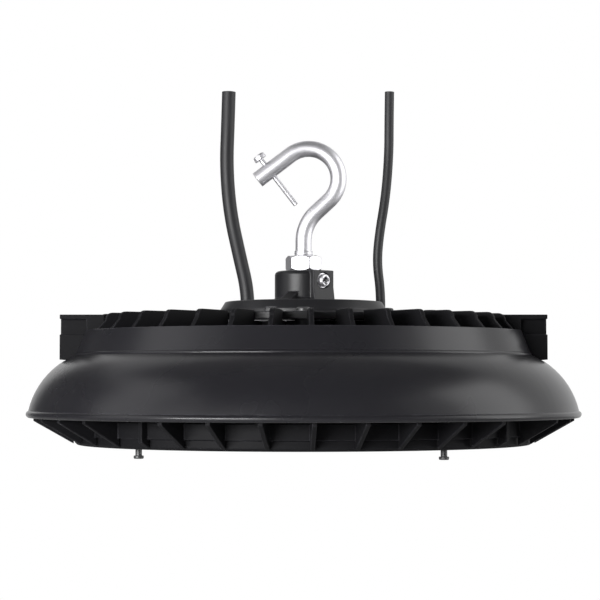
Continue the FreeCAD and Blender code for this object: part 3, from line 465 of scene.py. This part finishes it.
def coated_metal(name, colour, light, roughness, specular, fine, strength, dust):
    """Black coat over metal: orange peel, mottled gloss, rubbed edges with a painted highlight, and a
    little dust.
    """
    material, tree, shader = start_material(name, colour, roughness, 0.0, specular)
    grain = place_group(tree, GRAIN, fine_scale=fine, slow_scale=COAT_CLOUDS)
    edges = place_group(tree, EDGES, **COAT_EDGE_WEAR_AND_HIGHLIGHT)
    settled = place_group(tree, DUST, amount=dust)
    # edge colour five times the light tone: rubbed coat together with a painted highlight where the edges
    # would catch the light
    worn_and_highlit = tuple(COAT_EDGE_HIGHLIGHT_GAIN * channel for channel in light)
    body = mix_colour(tree, grain.outputs["Mottle"], colour, light)
    rubbed_and_highlit = mix_colour(tree, edges.outputs["Mask"], body, worn_and_highlit)
    dusted = mix_colour(tree, settled.outputs["Mask"], rubbed_and_highlit, DUST_COLOUR)
    tree.links.new(dusted, shader.inputs["Base Color"])
    smooth, rough = (roughness + spread for spread in COAT_GLOSS_SPREAD)
    mottle_roughness(tree, shader, grain.outputs["Mottle"], smooth, rough)
    add_bump(tree, shader, grain.outputs["Height"], strength, COAT_RELIEF, edges.outputs["Normal"])
    return material


def plated_steel(name, colour, dark, roughness):
    """Bright plated steel with faint draw marks, cloudy plating and a painted highlight on the edges."""
    material, tree, shader = start_material(name, colour, roughness, 1.0)
    grain = place_group(tree, GRAIN, fine_scale=PLATING_CLOUDS * 4, slow_scale=PLATING_CLOUDS)
    edges = place_group(tree, EDGES, **PLATING_EDGE_WEAR_AND_HIGHLIGHT)
    body = mix_colour(tree, grain.outputs["Mottle"], colour, dark)
    # near-white on the edges: a painted highlight where the edges would catch the light, in patches like
    # rubbed plating
    edge_highlit = mix_colour(tree, edges.outputs["Mask"], body, PLATING_EDGE_HIGHLIGHT)
    tree.links.new(edge_highlit, shader.inputs["Base Color"])
    smooth, rough = (roughness + spread for spread in PLATING_GLOSS_SPREAD)
    mottle_roughness(tree, shader, grain.outputs["Mottle"], smooth, rough)
    add_bump(tree, shader, grain.outputs["Height"], PLATING_STRENGTH, PLATING_RELIEF,
             edges.outputs["Normal"])
    return material


def moulded(name, colour, light, roughness, fine=1400.0, strength=0.2, specular=0.4):
    """Moulded plastic or rubber with a fine spark texture."""
    material, tree, shader = start_material(name, colour, roughness, 0.0, specular)
    grain = place_group(tree, GRAIN, fine_scale=fine, slow_scale=MOULDING_CLOUDS)
    body = mix_colour(tree, grain.outputs["Mottle"], colour, light)
    tree.links.new(body, shader.inputs["Base Color"])
    smooth, rough = (roughness + spread for spread in MOULDING_GLOSS_SPREAD)
    mottle_roughness(tree, shader, grain.outputs["Mottle"], smooth, rough)
    add_bump(tree, shader, grain.outputs["Height"], strength, MOULDING_RELIEF)
    return material


def clear_optic(name):
    """Clear moulded lens with faint flow marks."""
    material, tree, shader = start_material(name, OPTIC_COLOUR, OPTIC_PLAIN_ROUGHNESS)
    shader.inputs["Transmission Weight"].default_value = 1.0
    shader.inputs["IOR"].default_value = OPTIC_IOR
    grain = place_group(tree, GRAIN, **OPTIC_GRAIN)
    mottle_roughness(tree, shader, grain.outputs["Mottle"], *OPTIC_ROUGHNESS)
    add_bump(tree, shader, grain.outputs["Height"], OPTIC_STRENGTH, MOULDING_RELIEF)
    return material


def cord_jacket(name, colour, light):
    """Matt jacket of a flexible cord."""
    return moulded(name, colour, light, **JACKET)


FINISHES = {
    "black_casting": coated_metal("casting_coat", (0.0085, 0.0085, 0.0095), (0.0120, 0.0118, 0.0135),
                                  roughness=0.40, specular=0.22, fine=700.0, strength=0.30, dust=0.08),
    "black_satin_shell": coated_metal("shell_coat", (0.0085, 0.0083, 0.0100), (0.0115, 0.0112, 0.0135),
                                      roughness=0.27, specular=0.26, fine=1100.0, strength=0.15, dust=0.05),
    "black_screw": coated_metal("screw_coat", (0.020, 0.020, 0.021), (0.030, 0.030, 0.031),
                                roughness=0.38, specular=0.5, fine=1500.0, strength=0.15, dust=0.05),
    "bright_zinc": plated_steel("bright_zinc", (0.68, 0.675, 0.70), (0.56, 0.555, 0.58), roughness=0.44),
    "zinc_steel": plated_steel("zinc_steel", (0.66, 0.655, 0.69), (0.52, 0.515, 0.55), roughness=0.42),
    "aluminium_sheet": plated_steel("mill_aluminium", (0.72, 0.73, 0.74), (0.62, 0.63, 0.64),
                                    roughness=0.42),
    "seal_rubber": moulded("grey_silicone", (0.30, 0.30, 0.31), (0.36, 0.36, 0.37), roughness=0.7),
    "driver_case": moulded("driver_case", (0.50, 0.51, 0.53), (0.58, 0.59, 0.61), roughness=0.45),
    "thermal_silicone": moulded("thermal_pad", (0.42, 0.44, 0.49), (0.48, 0.50, 0.55), roughness=0.8),
    "board_white": moulded("board_mask", (0.84, 0.84, 0.81), (0.90, 0.90, 0.88),
                           roughness=0.3, strength=0.08),
    "led_phosphor": moulded("chip_phosphor", (0.80, 0.62, 0.12), (0.88, 0.74, 0.22), roughness=0.5),
    "clear_lens": clear_optic("clear_optic"),
    "black_cord": cord_jacket("black_jacket", (0.010, 0.010, 0.011), (0.016, 0.016, 0.018)),
    "grey_cord": cord_jacket("grey_jacket", (0.013, 0.013, 0.014), (0.020, 0.020, 0.022)),
    "gland_nylon": moulded("gland_nylon", (0.012, 0.012, 0.013), (0.018, 0.018, 0.019), roughness=0.45),
    "lead_red": moulded("lead_red", (0.42, 0.03, 0.02), (0.50, 0.05, 0.03), roughness=0.5),
}
# finishes that only pieces of this scene wear; the matt casting coat is a copy of the casting coat whose
# darker colour is painted shade for the heat sink and lens frame, and it is also rougher and less glossy
SHADED_MATT_CASTING = coated_metal("shaded_matt_casting_coat", (0.0045, 0.0045, 0.0053), (0.0065, 0.0064, 0.0073),
                            roughness=0.58, specular=0.07, fine=700.0, strength=0.30, dust=0.08)
COPPER = plated_steel("bare_copper", (0.72, 0.32, 0.16), (0.60, 0.24, 0.12), roughness=0.35)
BROWN = moulded("core_brown", (0.10, 0.035, 0.015), (0.13, 0.05, 0.02), roughness=0.5)
BLUE = moulded("core_blue", (0.02, 0.09, 0.40), (0.03, 0.12, 0.48), roughness=0.5)
GREEN = moulded("core_green", (0.05, 0.30, 0.06), (0.07, 0.36, 0.08), roughness=0.5)
PURPLE = moulded("core_purple", (0.20, 0.04, 0.28), (0.25, 0.06, 0.34), roughness=0.5)
PINK = moulded("core_pink", (0.70, 0.25, 0.32), (0.76, 0.30, 0.38), roughness=0.5)


def dress(piece, material):
    """Give a piece one material."""
    piece.data.materials.clear()
    piece.data.materials.append(material)


for part in frame["record"]["subparts"]:
    dress(frame["nodes"][part["node"]], FINISHES[part["material_slot"]])
for cord, slot in ((power_cord, "black_cord"), (dimming_cord, "grey_cord")):
    dress(cord, FINISHES[slot])

# ---------------------------------------------------------------- modelling helpers

SMOOTH_ANGLE = math.radians(35.0)
OVERLAP = 0.2


def only(piece):
    """Select one object and make it active."""
    bpy.ops.object.select_all(action="DESELECT")
    piece.select_set(True)
    bpy.context.view_layer.objects.active = piece


def tube(name, radius, low, high, sides=48, places=((0.0, 0.0),), turn=0.0):
    """Upright prisms or cylinders of one size in one object, at places in millimetres."""
    spots = [(x * MM, y * MM, (low + high) / 2 * MM) for x, y in places]
    size = {"vertices": sides, "radius": radius * MM, "depth": (high - low) * MM}
    size["rotation"] = (0.0, 0.0, turn)
    bpy.ops.mesh.primitive_cylinder_add(location=(0.0, 0.0, 0.0), **size)
    piece = bpy.context.object
    piece.name = name
    piece.location = spots[0]
    settle(piece)
    bpy.ops.object.mode_set(mode="EDIT")
    for spot in spots[1:]:
        bpy.ops.mesh.primitive_cylinder_add(location=spot, **size)
    bpy.ops.object.mode_set(mode="OBJECT")
    return piece


def upright_box(length, width, low, high, turn=0.0):
    """Box round the Z axis, in millimetres, its turn in radians."""
    bpy.ops.mesh.primitive_cube_add(size=1.0, location=(0.0, 0.0, (low + high) / 2 * MM),
                                    rotation=(0.0, 0.0, turn))
    box = bpy.context.object
    box.scale = (length * MM, width * MM, (high - low) * MM)
    settle(box)
    return box


def ring_bar(name, major, minor, place, segments=(180, 20)):
    """Round bar bent into a ring, at a place in millimetres."""
    bpy.ops.mesh.primitive_torus_add(major_radius=major * MM, minor_radius=minor * MM,
                                     major_segments=segments[0], minor_segments=segments[1],
                                     location=[value * MM for value in place])
    ring = bpy.context.object
    ring.name = name
    bpy.ops.object.shade_smooth()
    return ring


def underside(node):
    """Height of a solid's lowest point, in millimetres, to the micrometre."""
    return round(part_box(node)[0][2] / MM, 3)


def top(node):
    """Height of a solid's highest point, in millimetres, to the micrometre."""
    return round(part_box(node)[1][2] / MM, 3)


def settle(piece):
    """Put an object's place, turn and scale into its mesh."""
    only(piece)
    bpy.ops.object.transform_apply(location=True, rotation=True, scale=True)


def apply_step(piece, step):
    """Apply a modifier."""
    only(piece)
    bpy.ops.object.modifier_apply(modifier=step.name)


def cut(piece, cutter, kind="DIFFERENCE"):
    """Cut one solid with another, or keep what they share."""
    step = piece.modifiers.new("cut", "BOOLEAN")
    step.operation = kind
    step.solver = "EXACT"
    step.object = cutter
    apply_step(piece, step)
    bpy.data.objects.remove(cutter)
    return piece


def round_edges(piece, width, segments=2, angle=30.0):
    """Small rounds on the sharp edges, and smooth shading between them."""
    step = piece.modifiers.new("rounds", "BEVEL")
    step.width = width * MM
    step.segments = segments
    step.limit_method = "ANGLE"
    step.angle_limit = math.radians(angle)
    step.use_clamp_overlap = False
    apply_step(piece, step)
    bpy.ops.object.shade_smooth_by_angle(angle=SMOOTH_ANGLE)
    level = piece.modifiers.new("level_faces", "WEIGHTED_NORMAL")
    level.keep_sharp = True
    apply_step(piece, level)
    return piece


def join(first, others, name):
    """Join objects into the first one."""
    only(first)
    for other in others:
        other.select_set(True)
    bpy.ops.object.join()
    first.name = name
    return first


def finish_piece(piece, slot, nodes=(), material=None):
    """Settle a piece, dress it, hang it on the root body, and hide the solids that it stands for."""
    settle(piece)
    dress(piece, material or FINISHES[slot])
    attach(piece, "root")
    if nodes:
        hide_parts(*nodes)
    return piece


def circle_places(radius, count, start, centre=(0.0, 0.0)):
    """Points spread evenly on a circle, in millimetres and degrees."""
    turns = [math.radians(start + 360.0 * step / count) for step in range(count)]
    return [(centre[0] + radius * math.cos(turn), centre[1] + radius * math.sin(turn)) for turn in turns]


def raised(places, height):
    """The same places at one height."""
    return [(x, y, height) for x, y in places]


def thread(name, radius, pitch, depth, low, high, steps):
    """Helical ridge of a screw thread round the Z axis."""
    bpy.ops.mesh.primitive_circle_add(vertices=3, radius=depth * MM, fill_type="NOTHING",
                                      location=(radius * MM, 0.0, low * MM),
                                      rotation=(math.pi / 2, 0.0, 0.0))
    ridge = bpy.context.object
    ridge.name = name
    settle(ridge)
    step = ridge.modifiers.new("helix", "SCREW")
    step.axis = "Z"
    step.angle = 2 * math.pi
    step.screw_offset = pitch * MM
    step.iterations = max(1, round((high - low) / pitch))
    step.steps = steps
    step.render_steps = steps
    apply_step(ridge, step)
    bpy.ops.object.mode_set(mode="EDIT")
    bpy.ops.mesh.select_all(action="SELECT")
    bpy.ops.mesh.fill_holes(sides=0)
    bpy.ops.mesh.select_all(action="SELECT")
    bpy.ops.mesh.normals_make_consistent(inside=False)
    bpy.ops.object.mode_set(mode="OBJECT")
    return ridge


def aim(piece, place, way):
    """Turn an object's Z axis to a direction and move it to a place in millimetres."""
    piece.rotation_euler = Vector(way).to_track_quat("Z", "Y").to_euler()
    piece.location = Vector(place) * MM
    settle(piece)
    return piece


def copies(first, places, way, name):
    """One object with a copy of an upright piece at each place, all facing one way."""
    others = []
    for place in places[1:]:
        other = first.copy()
        other.data = first.data.copy()
        SCENE.collection.objects.link(other)
        others.append(aim(other, place, way))
    aim(first, places[0], way)
    return join(first, others, name)


# ---------------------------------------------------------------- screws and nut
# Sizes are in millimetres and degrees. A circle is its radius, count and first angle.

UPWARD = 0.9
HEX = 6
HEAD_SIDES = 40
CROWN_STEPS = 4
SHANK_SIDES = 24
CROSS_SHARE = 0.24
CUT_PAST = 1.0
SCREW_ROUND = 0.12
SMALL_ROUND = 0.1

COVER_SCREW = {"head_radius": 3.7, "head_height": 2.2, "shank_radius": 2.0, "length": 9.0, "crown": 0.9}
COVER_SOCKET = {"across": 2.5, "depth": 1.3}
COVER_SCREW_CIRCLE = (78.0, 6, 30.0)
COVER_SEAT = top("cover_screws") - COVER_SCREW["head_height"]

FRAME_SCREW = {"head_radius": 3.7, "head_height": 2.2, "shank_radius": 2.0, "length": 9.0, "crown": 0.9}
FRAME_CROSS = {"width": 4.2, "depth": 1.2}
FRAME_SCREW_CIRCLE = (116.0, 8, 15.0)
FRAME_SEAT = underside("lens_frame_screws") + FRAME_SCREW["head_height"]

STUD = {"head_radius": 2.6, "head_height": 1.6, "shank_radius": 1.7, "length": 9.5, "crown": 0.5}
STUD_SLOT = {"length": 8.0, "width": 0.8, "low": 0.9, "high": 3.0}
STUD_CIRCLE = (111.0, 4, 40.0)
STUD_SEAT = underside("reflector_studs") + STUD["head_height"]

SET_SCREW = {"head_radius": 3.5, "head_height": 2.6, "shank_radius": 2.0, "length": 10.0, "crown": 1.1}
SET_CROSS = {"width": 4.6, "depth": 1.5}
SET_SCREW_TURN = math.radians(-48.0)
SET_SCREW_REACH = 15.8
SET_SCREW_HEIGHT = (underside("set_screw_washer") + top("set_screw_washer")) / 2

KEEPER_SCREW = {"head_radius": 3.6, "head_height": 2.9, "shank_radius": 1.35, "length": 32.1, "crown": 1.1}
KEEPER_SLOT = {"length": 1.5, "width": 9.0, "low": 1.2, "high": 4.0}
KEEPER_THREAD = {"radius": 1.33, "pitch": 0.8, "depth": 0.17, "low": -31.6, "high": -3.6, "steps": 16}
KEEPER_SLOPE = math.radians(37.5)
KEEPER_CROSSING = Vector((-20.27, 0.0, 159.05))
KEEPER_SEAT = 5.7

NUT_FLATS = 18.0
NUT_LOW = underside("hook_lock_nut")
NUT_HIGH = top("hook_lock_nut")
NUT_TURN = math.radians(19.0)
NUT_TURNED = {"radius": 10.2, "low": NUT_LOW, "high": NUT_HIGH, "sides": 64}
NUT_BORE = {"radius": 5.02, "low": NUT_LOW - CUT_PAST, "high": NUT_HIGH + 1.6, "sides": 48}
NUT_CORNER = 1.3
NUT_ROUND = 0.25
NUT_ROUND_STEPS = 3
NUT_EDGE_ANGLE = 20.0

HOOK_THREAD = {"radius": 4.88, "pitch": 1.5, "depth": 0.42, "low": NUT_LOW + 2.0, "high": NUT_HIGH + 2.6,
               "steps": 32}
LUG_THREAD = {"radius": 3.42, "pitch": 1.25, "depth": 0.36, "low": -14.5, "high": -0.8, "steps": 24}
LUG_FACE = MOUNTS["lug_face_right"]["pos_m"][0] / MM
LUG_HOLE_HEIGHT = 60.0


def screw_blank(head_radius, head_height, shank_radius, length, crown):
    """Headed screw on the Z axis, the head's seat at height 0 and the shank below it."""
    head = tube("screw_head", head_radius, 0.0, head_height, HEAD_SIDES)
    bpy.ops.object.mode_set(mode="EDIT")
    bpy.ops.mesh.select_all(action="DESELECT")
    bpy.ops.object.mode_set(mode="OBJECT")
    for face in head.data.polygons:
        face.select = face.normal.z > UPWARD
    bpy.ops.object.mode_set(mode="EDIT")
    bpy.ops.mesh.bevel(offset=crown * MM, segments=CROWN_STEPS, affect="EDGES")
    bpy.ops.object.mode_set(mode="OBJECT")
    shank = tube("screw_shank", shank_radius, -length, OVERLAP, SHANK_SIDES)
    return cut(head, shank, "UNION")


def hex_socket(screw, head_height, across, depth):
    """Six-sided drive socket in a screw head."""
    socket = tube("socket", across / math.sqrt(3.0), head_height - depth, head_height + CUT_PAST, HEX)
    return cut(screw, socket)


def cross_recess(screw, head_height, width, depth):
    """Cross recess in a screw head."""
    low = head_height - depth
    for turn in (0.0, math.pi / 2):
        cut(screw, upright_box(width, width * CROSS_SHARE, low, head_height + CUT_PAST, turn))
    return screw


def make_cover_screws():
    """Button screws with sockets round the driver cover."""
    screw = hex_socket(screw_blank(**COVER_SCREW), COVER_SCREW["head_height"], **COVER_SOCKET)
    round_edges(screw, SCREW_ROUND)
    places = raised(circle_places(*COVER_SCREW_CIRCLE), COVER_SEAT)
    screws = copies(screw, places, (0, 0, 1), "cover_button_screws")
    finish_piece(screws, "black_screw", ["cover_screws"])


def make_frame_screws():
    """Pan screws with cross recesses in the lens frame's counterbores."""
    screw = cross_recess(screw_blank(**FRAME_SCREW), FRAME_SCREW["head_height"], **FRAME_CROSS)
    round_edges(screw, SMALL_ROUND)
    places = raised(circle_places(*FRAME_SCREW_CIRCLE), FRAME_SEAT)
    screws = copies(screw, places, (0, 0, -1), "frame_cross_screws")
    finish_piece(screws, "black_screw", ["lens_frame_screws"])


def make_studs():
    """Headed studs under the lens frame, slotted for a driver."""
    stud = screw_blank(**STUD)
    cut(stud, upright_box(**STUD_SLOT))
    round_edges(stud, SMALL_ROUND)
    places = raised(circle_places(*STUD_CIRCLE), STUD_SEAT)
    studs = copies(stud, places, (0, 0, -1), "slotted_studs")
    finish_piece(studs, "black_screw", ["reflector_studs"])


def make_set_screw():
    """Pan screw with a cross recess in the side of the boss."""
    way = Vector((math.cos(SET_SCREW_TURN), math.sin(SET_SCREW_TURN), 0.0))
    screw = cross_recess(screw_blank(**SET_SCREW), SET_SCREW["head_height"], **SET_CROSS)
    round_edges(screw, SCREW_ROUND)
    aim(screw, way * SET_SCREW_REACH + Vector((0.0, 0.0, SET_SCREW_HEIGHT)), way)
    screw.name = "boss_cross_screw"
    finish_piece(screw, "bright_zinc", ["set_screw"])


def make_keeper_screw():
    """Slotted screw with a threaded shank through the hook's arm."""
    way = Vector((math.sin(KEEPER_SLOPE), 0.0, -math.cos(KEEPER_SLOPE)))
    screw = screw_blank(**KEEPER_SCREW)
    cut(screw, upright_box(**KEEPER_SLOT))
    round_edges(screw, SCREW_ROUND)
    join(screw, [thread("keeper_ridge", **KEEPER_THREAD)], "keeper_slotted_screw")
    aim(screw, KEEPER_CROSSING - way * KEEPER_SEAT, -way)
    finish_piece(screw, "bright_zinc", ["hook_keeper_screw"])


def make_nut():
    """Hexagon lock nut with turned corners on both faces."""
    nut = tube("lock_nut", NUT_FLATS / math.sqrt(3.0), NUT_LOW, NUT_HIGH, HEX, turn=NUT_TURN)
    cut(nut, round_edges(tube("nut_blank", **NUT_TURNED), NUT_CORNER, 1), "INTERSECT")
    cut(nut, tube("nut_bore", **NUT_BORE))
    round_edges(nut, NUT_ROUND, NUT_ROUND_STEPS, NUT_EDGE_ANGLE)
    finish_piece(nut, "bright_zinc", ["hook_lock_nut"])


def make_hook_thread():
    """Rolled thread that shows above the lock nut."""
    finish_piece(thread("shank_thread", **HOOK_THREAD), "bright_zinc")


def make_lug_threads():
    """Tapped threads in the side lugs' holes."""
    for name, side in (("right_tapped_thread", 1.0), ("left_tapped_thread", -1.0)):
        ridge = thread(name, **LUG_THREAD)
        aim(ridge, (side * LUG_FACE, 0.0, LUG_HOLE_HEIGHT), (side, 0.0, 0.0))
        finish_piece(ridge, "zinc_steel")


# ---------------------------------------------------------------- glands and cord ends

SUPPLY_EXIT = POWER_ROUTE[0][:2]
CONTROL_EXIT = DIMMING_ROUTE[0][:2]
CAP_LOW = underside("power_gland_cap")
CAP_HIGH = top("power_gland_cap")
CAP = {"radius": 7.4, "low": CAP_LOW, "high": CAP_HIGH, "sides": 72}
CAP_CROWN = 1.1
FLUTE = {"radius": 0.75, "low": CAP_LOW - 0.8, "high": CAP_HIGH - 1.0, "sides": 12}
FLUTE_CIRCLE = (7.75, 16, 0.0)
MOUTH = {"low": CAP_HIGH - 1.4, "high": CAP_HIGH + CUT_PAST, "sides": 40}
SUPPLY_MOUTH = 5.0
CONTROL_MOUTH = 3.9
SEAL_GAP = 0.55
SEAL_BAR = 0.75
SEAL_HEIGHT = CAP_HIGH - 1.0
SEAL_SEGMENTS = (48, 12)
SUPPLY_CORES = {"reach": 1.75, "radius": 1.25, "colours": (BROWN, BLUE, GREEN)}
CONTROL_CORES = {"reach": 1.1, "radius": 0.85, "colours": (PURPLE, PINK)}
FIRST_CORE_ANGLE = 90.0
CORE_SIDES = 24
WIRE_SIDES = 20
CORE_DEPTH = 1.0
CORE_PROUD = 0.05
WIRE_PROUD = 0.08
WIRE_SHARE = 0.55
CORD_SLOTS = {"supply": "black_cord", "control": "grey_cord"}


def make_gland_cap(name, node, place, mouth):
    """Clamping cap of a cable gland: fluted grip under a rounded crown."""
    cap = round_edges(tube(name, places=[place], **CAP), CAP_CROWN, CROWN_STEPS)
    cut(cap, tube("flutes", places=circle_places(*FLUTE_CIRCLE, place), **FLUTE))
    cut(cap, tube("mouth", mouth, places=[place], **MOUTH))
    round_edges(cap, SCREW_ROUND)
    finish_piece(cap, "gland_nylon", [node])


def make_gland_seal(name, place, diameter):
    """Rubber seal that shows between the gland cap and the cord."""
    seal = ring_bar(name, diameter / 2 / MM + SEAL_GAP, SEAL_BAR, (*place, SEAL_HEIGHT), SEAL_SEGMENTS)
    finish_piece(seal, "seal_rubber")


def make_cord_cores(name, end, reach, radius, colours):
    """Cut ends of the insulated cores in a cord, flush with its square end."""
    slot = CORD_SLOTS[name]
    low = end[2] - CORE_DEPTH
    spots = circle_places(reach, len(colours), FIRST_CORE_ANGLE, end[:2])
    for number, (spot, colour) in enumerate(zip(spots, colours)):
        core = tube(f"{name}_core_{number}", radius, low, end[2] + CORE_PROUD, CORE_SIDES, [spot])
        finish_piece(core, slot, material=colour)
        wire = tube(f"{name}_wire_{number}", radius * WIRE_SHARE, low, end[2] + WIRE_PROUD,
                    WIRE_SIDES, [spot])
        finish_piece(wire, slot, material=COPPER)


# ---------------------------------------------------------------- castings

MERGE_DISTANCE = 0.000002
FLAT_ANGLE = math.radians(0.4)
COVER_ROUND = 0.45
FRAME_ROUND = 0.35
SINK_ROUND = 0.30

BAND_HEIGHT = 13.2
SHOULDER = top("shroud") - BAND_HEIGHT
BEAD = {"major": 125.2, "minor": 1.25, "place": (0.0, 0.0, SHOULDER)}
LUG_GAP = {"length": 300.0, "width": 56.6, "low": SHOULDER - 10.0, "high": SHOULDER + 10.0}

BOSS_HEIGHT = 17.2
FILLET_RADIUS = 18.6
FILLET_SIZE = 2.6
FILLET_SIDES = 72
BOSS_CORE_RADIUS = 15.6
BOSS_CORE_BELOW = 2.0
BOSS_CORE_ABOVE = 6.0

EJECTOR_MARK = {"radius": 2.4, "low": COVER_SEAT - 0.1, "high": COVER_SEAT + 0.12, "sides": 32}
EJECTOR_CIRCLE = (62.0, 6, 0.0)
EJECTOR_ROUND = 0.08

CHIP_RINGS = 4
CHIP_FIRST_RADIUS = 22.0
CHIP_RING_STEP = 20.0
CHIPS_PER_RING = 6
CASE_HALF = 1.85
CASE_LEVELS = (underside("led_chips") - 0.1, top("led_chips") - 0.05)
WINDOW_HALF = 1.3
WINDOW_LEVELS = (CASE_LEVELS[0] - 0.6, CASE_LEVELS[1] + 0.65)


def rounded_copy(name, node, width, material=None):
    """Casting with small radii on its edges, from a merged copy of the solid's mesh."""
    source = frame["nodes"][node]
    casting = source.copy()
    casting.data = source.data.copy()
    SCENE.collection.objects.link(casting)
    casting.name = name
    only(casting)
    bpy.ops.object.mode_set(mode="EDIT")
    bpy.ops.mesh.select_all(action="SELECT")
    bpy.ops.mesh.remove_doubles(threshold=MERGE_DISTANCE)
    bpy.ops.mesh.dissolve_limited(angle_limit=FLAT_ANGLE)
    bpy.ops.mesh.select_all(action="SELECT")
    bpy.ops.mesh.normals_make_consistent(inside=False)
    bpy.ops.object.mode_set(mode="OBJECT")
    round_edges(casting, width)
    finish_piece(casting, "black_casting", [node], material)


def make_shoulder_bead():
    """Pressed bead where the shroud's band turns into its skirt, open at the side lugs."""
    bead = cut(ring_bar("shoulder_bead", **BEAD), upright_box(**LUG_GAP))
    finish_piece(bead, "black_satin_shell")


def make_boss_fillet():
    """Hollow round where the hook boss rises from the platform."""
    foot = NUT_LOW - BOSS_HEIGHT
    crest = foot + FILLET_SIZE
    fillet = tube("boss_fillet", FILLET_RADIUS, foot - OVERLAP, crest, FILLET_SIDES)
    cut(fillet, ring_bar("hollow", FILLET_RADIUS, FILLET_SIZE, (0.0, 0.0, crest)))
    core = tube("boss_core", BOSS_CORE_RADIUS, foot - BOSS_CORE_BELOW, foot + BOSS_CORE_ABOVE, FILLET_SIDES)
    cut(fillet, core)
    only(fillet)
    bpy.ops.object.shade_smooth_by_angle(angle=SMOOTH_ANGLE)
    finish_piece(fillet, "black_casting")


def make_ejector_marks():
    """Shallow round marks that the die's ejector pins leave on the cover."""
    marks = tube("ejector_marks", places=circle_places(*EJECTOR_CIRCLE), **EJECTOR_MARK)
    round_edges(marks, EJECTOR_ROUND, 1)
    finish_piece(marks, "black_casting")


def make_chip_cases():
    """White ceramic cases round the light-emitting chips."""
    places = []
    for ring in range(CHIP_RINGS):
        radius = CHIP_FIRST_RADIUS + CHIP_RING_STEP * ring
        places += circle_places(radius, CHIPS_PER_RING * (ring + 1), 0.0)
    square = {"sides": 4, "places": places, "turn": math.pi / 4}
    cases = tube("chip_cases", CASE_HALF * math.sqrt(2.0), *CASE_LEVELS, **square)
    cut(cases, tube("chip_windows", WINDOW_HALF * math.sqrt(2.0), *WINDOW_LEVELS, **square))
    finish_piece(cases, "board_white")


make_cover_screws()
make_frame_screws()
make_studs()
make_set_screw()
make_keeper_screw()
make_nut()
make_hook_thread()
make_lug_threads()
make_gland_cap("supply_gland_cap", "power_gland_cap", SUPPLY_EXIT, SUPPLY_MOUTH)
make_gland_cap("control_gland_cap", "dimming_gland_cap", CONTROL_EXIT, CONTROL_MOUTH)
make_gland_seal("supply_seal", SUPPLY_EXIT, POWER_DIAMETER)
make_gland_seal("control_seal", CONTROL_EXIT, DIMMING_DIAMETER)
make_cord_cores("supply", POWER_ROUTE[-1], **SUPPLY_CORES)
make_cord_cores("control", DIMMING_ROUTE[-1], **CONTROL_CORES)
rounded_copy("cover_casting", "driver_cover", COVER_ROUND)
# the lens frame and heat sink wear the darker copy of the casting coat: its darker colour is painted shade
rounded_copy("frame_casting", "lens_frame", FRAME_ROUND, SHADED_MATT_CASTING)
rounded_copy("sink_casting", "heat_sink", SINK_ROUND, SHADED_MATT_CASTING)
make_shoulder_bead()
make_boss_fillet()
make_ejector_marks()
make_chip_cases()

# ---------------------------------------------------------------- update

bpy.context.view_layer.update()
